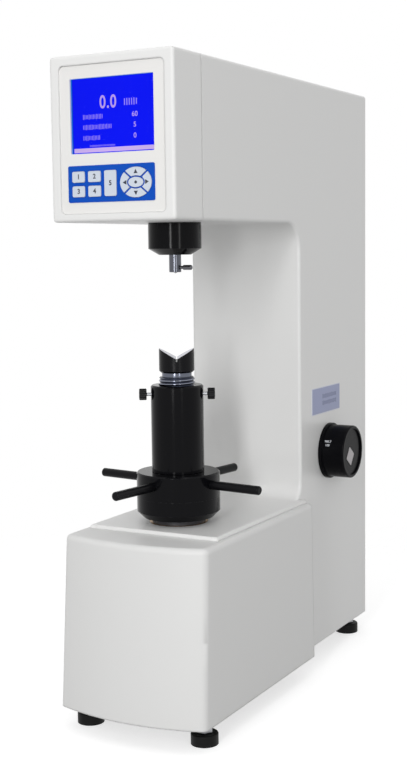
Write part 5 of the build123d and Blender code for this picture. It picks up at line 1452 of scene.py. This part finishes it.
@dataclass
class LoadSelector(SubAssembly):
    """Test force knob with its numbers and its plain badge.

    Args:
        badge_side: Side of the badge in the knob's end.
        badge_corner: Radius of its corners.
        badge_thickness: Its thickness.
        badge_turn: Its turn, in degrees.
        badge_shift: Its place from the axis (y, z).
        recess: Depth of the hollow in the end.
        drum: Radius of the drum that carries the numbers.
        digit_lift: How far they stand out from it.
        digit: Height of a digit.
        digit_bold: How far its strokes are widened.
        along: Distance of the numbers from the drum's inner end.
        first_turn: Turn of the first number about the axis, in degrees.
        step_turn: Turn from one load to the next.
        line_turn: Turn from a load's first number to its second.
        loads: The two numbers of each load.
    """

    FINISHES = {BLACK_KNOB: ("load_knob",), MACHINED: ("selector_shaft",)}

    badge_side: float = 16.6
    badge_corner: float = 0.8
    badge_thickness: float = 0.5
    badge_turn: float = 53.0
    badge_shift: Spot = (-4.4, -5.2)
    recess: float = 2.0
    drum: float = 32.0
    digit_lift: float = 0.03
    digit: float = 2.8
    digit_bold: float = 0.08
    along: float = 10.6
    first_turn: float = 52.0
    step_turn: float = 100.0
    line_turn: float = 8.5
    loads: Sequence[tuple[str, str]] = (("588.4", "60"), ("980.7", "100"), ("1471", "150"))

    def fit(self) -> None:
        """Adds the badge in the hollow end and the numbers round the drum."""
        _, y, z = KNOB_AXIS
        face = high_corner("load_knob").x - self.recess
        place = placed((face, y + self.badge_shift[0], z + self.badge_shift[1]), Facing.RIGHT,
                       self.badge_turn)
        outline = oblong(self.badge_side, self.badge_side, self.badge_corner)
        badge = meshed(slab(outline, self.badge_thickness), BADGE, place, smooth=True)
        keep(badge, "knob_badge", "selector")
        numbers = []
        for index, lines in enumerate(self.loads):
            for line, text in enumerate(lines):
                turn = self.first_turn + index * self.step_turn + line * self.line_turn
                number = self._bent(numeral(text, self.digit, self.digit_bold), turn)
                number.transform(placed((low_corner("load_knob").x, y, z)))
                numbers.append(number)
        keep(joined(numbers, PRINT_WHITE), "knob_numbers", "selector")

    def _bent(self, number: Mesh, turn: float) -> Mesh:
        """Bends a flat number to the drum, to be read along its axis.

        Args:
            number: The number, in its own XY, in millimetres.
            turn: Where it comes about the axis, in degrees.

        Returns:
            The same mesh, bent about the X axis.
        """
        for vertex in number.vertices:
            x, y, z = vertex.co
            bend = math.radians(turn) - y / self.drum
            out = self.drum + self.digit_lift + z
            vertex.co = (self.along + x, out * math.cos(bend), out * math.sin(bend))
        return number


@dataclass
class RearSide(SubAssembly):
    """Rear inlet, its switch and pins, and the painted shade in the cover screws' recesses.

    Args:
        socket: Middle of the inlet socket (x, z).
        floor: Depth of the socket's floor, along y.
        pins: Place of each pin from the socket's middle (x, z).
        pin_sides: Width and height of a pin.
        pin_corner: Radius of its corners.
        pin_reach: Its length.
        film: Thickness of the marks on the rocker.
        bar: Width and height of its bar.
        ring: Opening and width of its ring.
        rocker_tilt: Tilt of the rocker at rest, in degrees.
        rocker_face: Distance of the marks from the rocker's axis.
        rocker_mark: Height of a mark above or below the axis.
        rocker_slope: Slope of the rocker's two halves.
        recess: Length and width of the two bars of a recess's painted shade.
        rear_screws: Places of the rear cover's screws (x, z).
        rear_y: Middle of their recesses, along y.
        rear_turn: Turn of their recesses, in degrees.
        lid_screws: Places of the lid's screws (x, y).
        lid_z: Middle of their recesses, along z.
        lid_turn: Turn of their recesses.
    """

    FINISHES = {INLET: ("power_module", "rocker")}

    socket: Spot = (-30.0, 97.0)
    floor: float = 234.0
    pins: Sequence[Spot] = ((-7.0, 0.0), (0.0, 2.0), (7.0, 0.0))
    pin_sides: Spot = (2.06, 4.06)
    pin_corner: float = 0.3
    pin_reach: float = 10.03
    film: float = 0.04
    bar: Spot = (0.8, 3.6)
    ring: Spot = (2.4, 0.6)
    rocker_tilt: float = 8.0
    rocker_face: float = 2.53
    rocker_mark: float = 4.6
    rocker_slope: float = 0.11
    recess: Spot = (3.6, 0.8)
    rear_screws: Sequence[Spot] = tuple((x, z) for x in (-59, 59) for z in (49, 362.75, 676.5))
    rear_y: float = 248.46
    rear_turn: float = 20.0
    lid_screws: Sequence[Spot] = tuple((x, y) for x in (-55.5, 55.5) for y in (-178.4, 233.5))
    lid_z: float = 699.945
    lid_turn: float = 35.0

    def fit(self) -> None:
        """Adds the plated pins, the rocker's marks and the painted shade in the screws' recesses.
        """
        x, z = self.socket
        pins = []
        for across, rise in self.pins:
            pin = slab(oblong(*self.pin_sides, self.pin_corner), self.pin_reach)
            place = placed((x + across, self.floor, z + rise), Facing.REAR)
            pins.append(meshed(pin, ZINC, place, smooth=True))
        keep(joined(pins, ZINC), "inlet_pins", "frame")
        self._rocker_marks()
        spots = [((x, self.rear_y, z), Facing.REAR, self.rear_turn) for x, z in self.rear_screws]
        spots += [((x, y, self.lid_z), Facing.UP, self.lid_turn) for x, y in self.lid_screws]
        reach, width = self.recess
        # Each cross recess is a thin dark cross laid on the screw head: painted shade.
        marks = [cross_growth().mesh(INLET, placed(*spot), Reach=reach, Width=width)
                 for spot in spots]
        keep(joined(marks, INLET), "screw_recess_shade", "frame")

    def _rocker_marks(self) -> None:
        """Bar and ring on the rocker's two sloping halves."""
        tilt = Matrix.Rotation(math.radians(self.rocker_tilt), 4, "X")
        pivot = Matrix.Translation(middle("rocker") * MM) @ tilt
        hole, wide = self.ring
        shapes = (slab(oblong(*self.bar), self.film), band(hole, hole, hole / 2, wide, self.film))
        marks = []
        for side, shape in zip((1.0, -1.0), shapes):
            out = Matrix.Translation(Vector((0.0, self.rocker_face, side * self.rocker_mark)) * MM)
            slope = Matrix.Rotation(-side * math.atan(self.rocker_slope), 4, "X")
            place = pivot @ out @ slope @ Facing.REAR.matrix() @ Matrix.Scale(MM, 4)
            marks.append(meshed(shape, PRINT_WHITE, place))
        keep(joined(marks, PRINT_WHITE), "rocker_marks", "rocker")


class LoadTrain(SubAssembly):
    """Lever, knife edges, hanger, weights, cam and motor inside the column."""

    FINISHES = {
        MACHINED: ("main_lever", "fulcrum_block", "weight_hanger"),
        HARDENED: ("lever_knife_edges", "load_cam"), GROUND: ("lifter_rod",),
        BLACKENED_IRON_AND_SHADE: ("weight_a", "weight_b", "weight_c"), ZINC: ("weight_rest", "motor_bracket"),
        MOTOR_GREY: ("gear_motor",), LAMINATED: ("transformer",)}


class LevellingFeet(SubAssembly):
    """Four levelling feet."""

    FINISHES = {
        RUBBER: ("foot_front_left", "foot_front_right", "foot_rear_left", "foot_rear_right")}


# ---------------------------------------------------------------- studio


@dataclass(frozen=True)
class Lamp:
    """Oblong area lamp.

    Args:
        name: Its name.
        place: Where it hangs, in metres.
        target: Where it points.
        sides: Its width and height, in metres.
        power: Its power in watts.
    """

    name: str
    place: Point
    target: Point
    sides: Spot
    power: float

    def hang(self) -> None:
        """Adds the lamp to the scene."""
        data = bpy.data.lights.new(self.name, "AREA")
        data.shape, data.energy = "RECTANGLE", self.power
        data.size, data.size_y = self.sides
        lamp = linked(self.name, data)
        lamp.location = self.place
        way = Vector(self.target) - Vector(self.place)
        lamp.rotation_euler = way.to_track_quat("-Z", "Y").to_euler()


@dataclass
class Studio:
    """Camera, lamps, floor and world.

    Args:
        eye: Place of the camera, in metres.
        yaw: Turn of the view to the left, in degrees.
        pitch: Tilt of the view downwards.
        roll: Roll of the camera.
        lens: Focal length for the sensor.
        sensor: Height of the sensor, in millimetres.
        white: Strength of the white background.
        fill: Strength of the world's light on the tester, from below and from above.
        horizon: Steepness of the way from one to the other.
        floor: What covers the floor.
        floor_half: Half width of the floor, in metres.
        lamps: The lamps.
    """

    eye: Point = (0.68775, -1.33245, 0.50759)
    yaw: float = 28.52
    pitch: float = 5.96
    roll: float = -0.74
    lens: float = 60.43
    sensor: float = 36.0
    white: float = 1.0
    fill: Spot = (0.36, 0.56)
    horizon: float = 0.4
    floor: Surface = StudioFloor("studio_floor", (0.62, 0.62, 0.62), (0.4, 0.9))
    floor_half: float = 6.0
    lamps: Sequence[Lamp] = (
        Lamp("front_lamp", (0.48, -2.45, 0.95), (0.0, 0.0, 0.45), (0.26, 1.7), 23.5),
        Lamp("side_lamp", (1.95, -1.75, 0.9), (0.0, 0.0, 0.4), (0.26, 1.6), 8.5),
        Lamp("top_lamp", (0.0, -0.6, 2.6), (0.0, 0.0, 0.3), (1.6, 1.6), 6.0))

    def build(self) -> None:
        """Sets the whole studio up."""
        self._camera()
        for lamp in self.lamps:
            lamp.hang()
        self._world()
        self._floor()
        bpy.context.scene.view_settings.view_transform = "Standard"

    def _camera(self) -> None:
        """Camera at its place with its turn, tilt and roll."""
        yaw, pitch, roll = (math.radians(angle) for angle in (self.yaw, self.pitch, self.roll))
        level = Vector((-math.sin(yaw), math.cos(yaw), 0.0))
        ahead = level * math.cos(pitch) - Vector((0.0, 0.0, math.sin(pitch)))
        right = Vector((math.cos(yaw), math.sin(yaw), 0.0))
        above = right.cross(ahead)
        across = math.cos(roll) * right + math.sin(roll) * above
        upward = -math.sin(roll) * right + math.cos(roll) * above
        turn = Matrix((across, upward, -ahead)).transposed().to_4x4()
        data = bpy.data.cameras.new("camera")
        data.sensor_fit, data.sensor_height, data.lens = "VERTICAL", self.sensor, self.lens
        camera = linked("camera", data)
        camera.matrix_world = Matrix.Translation(self.eye) @ turn
        bpy.context.scene.camera = camera

    def _world(self) -> None:
        """World that is white to the camera and in mirrors, and softer as a light."""
        world = bpy.data.worlds.new("studio")
        bpy.context.scene.world = world
        world.use_nodes = True
        world.node_tree.nodes.clear()
        wires = Wiring(world.node_tree)
        path = wires.add("ShaderNodeLightPath").outputs
        seen = wires.math("MAXIMUM", path["Is Camera Ray"], path["Is Transmission Ray"])
        seen = wires.math("MAXIMUM", seen, path["Is Glossy Ray"])
        upward = wires.parts(wires.give("ShaderNodeTexCoord", output="Generated"))["Z"]
        soft = wires.ramp(upward, -self.horizon, self.horizon, *self.fill)
        strength = wires.blend(seen, soft, self.white)
        back = {"Color": opaque(WHITE), "Strength": strength}
        wires.add("ShaderNodeOutputWorld", {"Surface": wires.give("ShaderNodeBackground", back)})

    def _floor(self) -> None:
        """White floor that keeps the tester's soft shadow."""
        half = self.floor_half
        corners = [(-half, -half, 0.0), (half, -half, 0.0), (half, half, 0.0), (-half, half, 0.0)]
        mesh = bpy.data.meshes.new("studio_floor")
        mesh.from_pydata(corners, [], [(0, 1, 2, 3)])
        mesh.materials.append(self.floor.material())
        linked("studio_floor", mesh)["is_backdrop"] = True


def plain(value: object) -> object:
    """Turns vectors within bounds into plain lists.

    Args:
        value: A number, a vector, or a mapping or sequence of them.

    Returns:
        The same in dicts, lists and numbers.
    """
    if isinstance(value, Mapping):
        return {str(key): plain(item) for key, item in value.items()}
    if isinstance(value, str) or not hasattr(value, "__len__"):
        return value
    return [plain(item) for item in value]


def main() -> None:
    """Builds the sub-assemblies in order."""
    logging.basicConfig(level=logging.INFO, format="%(name)s: %(message)s")
    before = plain(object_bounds())
    for part in (MachineBody(), DisplayHead(), SpindleNose(), ElevatingStack(), Handwheel(),
                 LoadSelector(), RearSide(), LoadTrain(), LevellingFeet(), Studio()):
        LOG.info("building %s", type(part).__name__)
        part.build()
    {"before": before, "after": plain(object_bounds())}


if __name__ == "__main__":
    main()
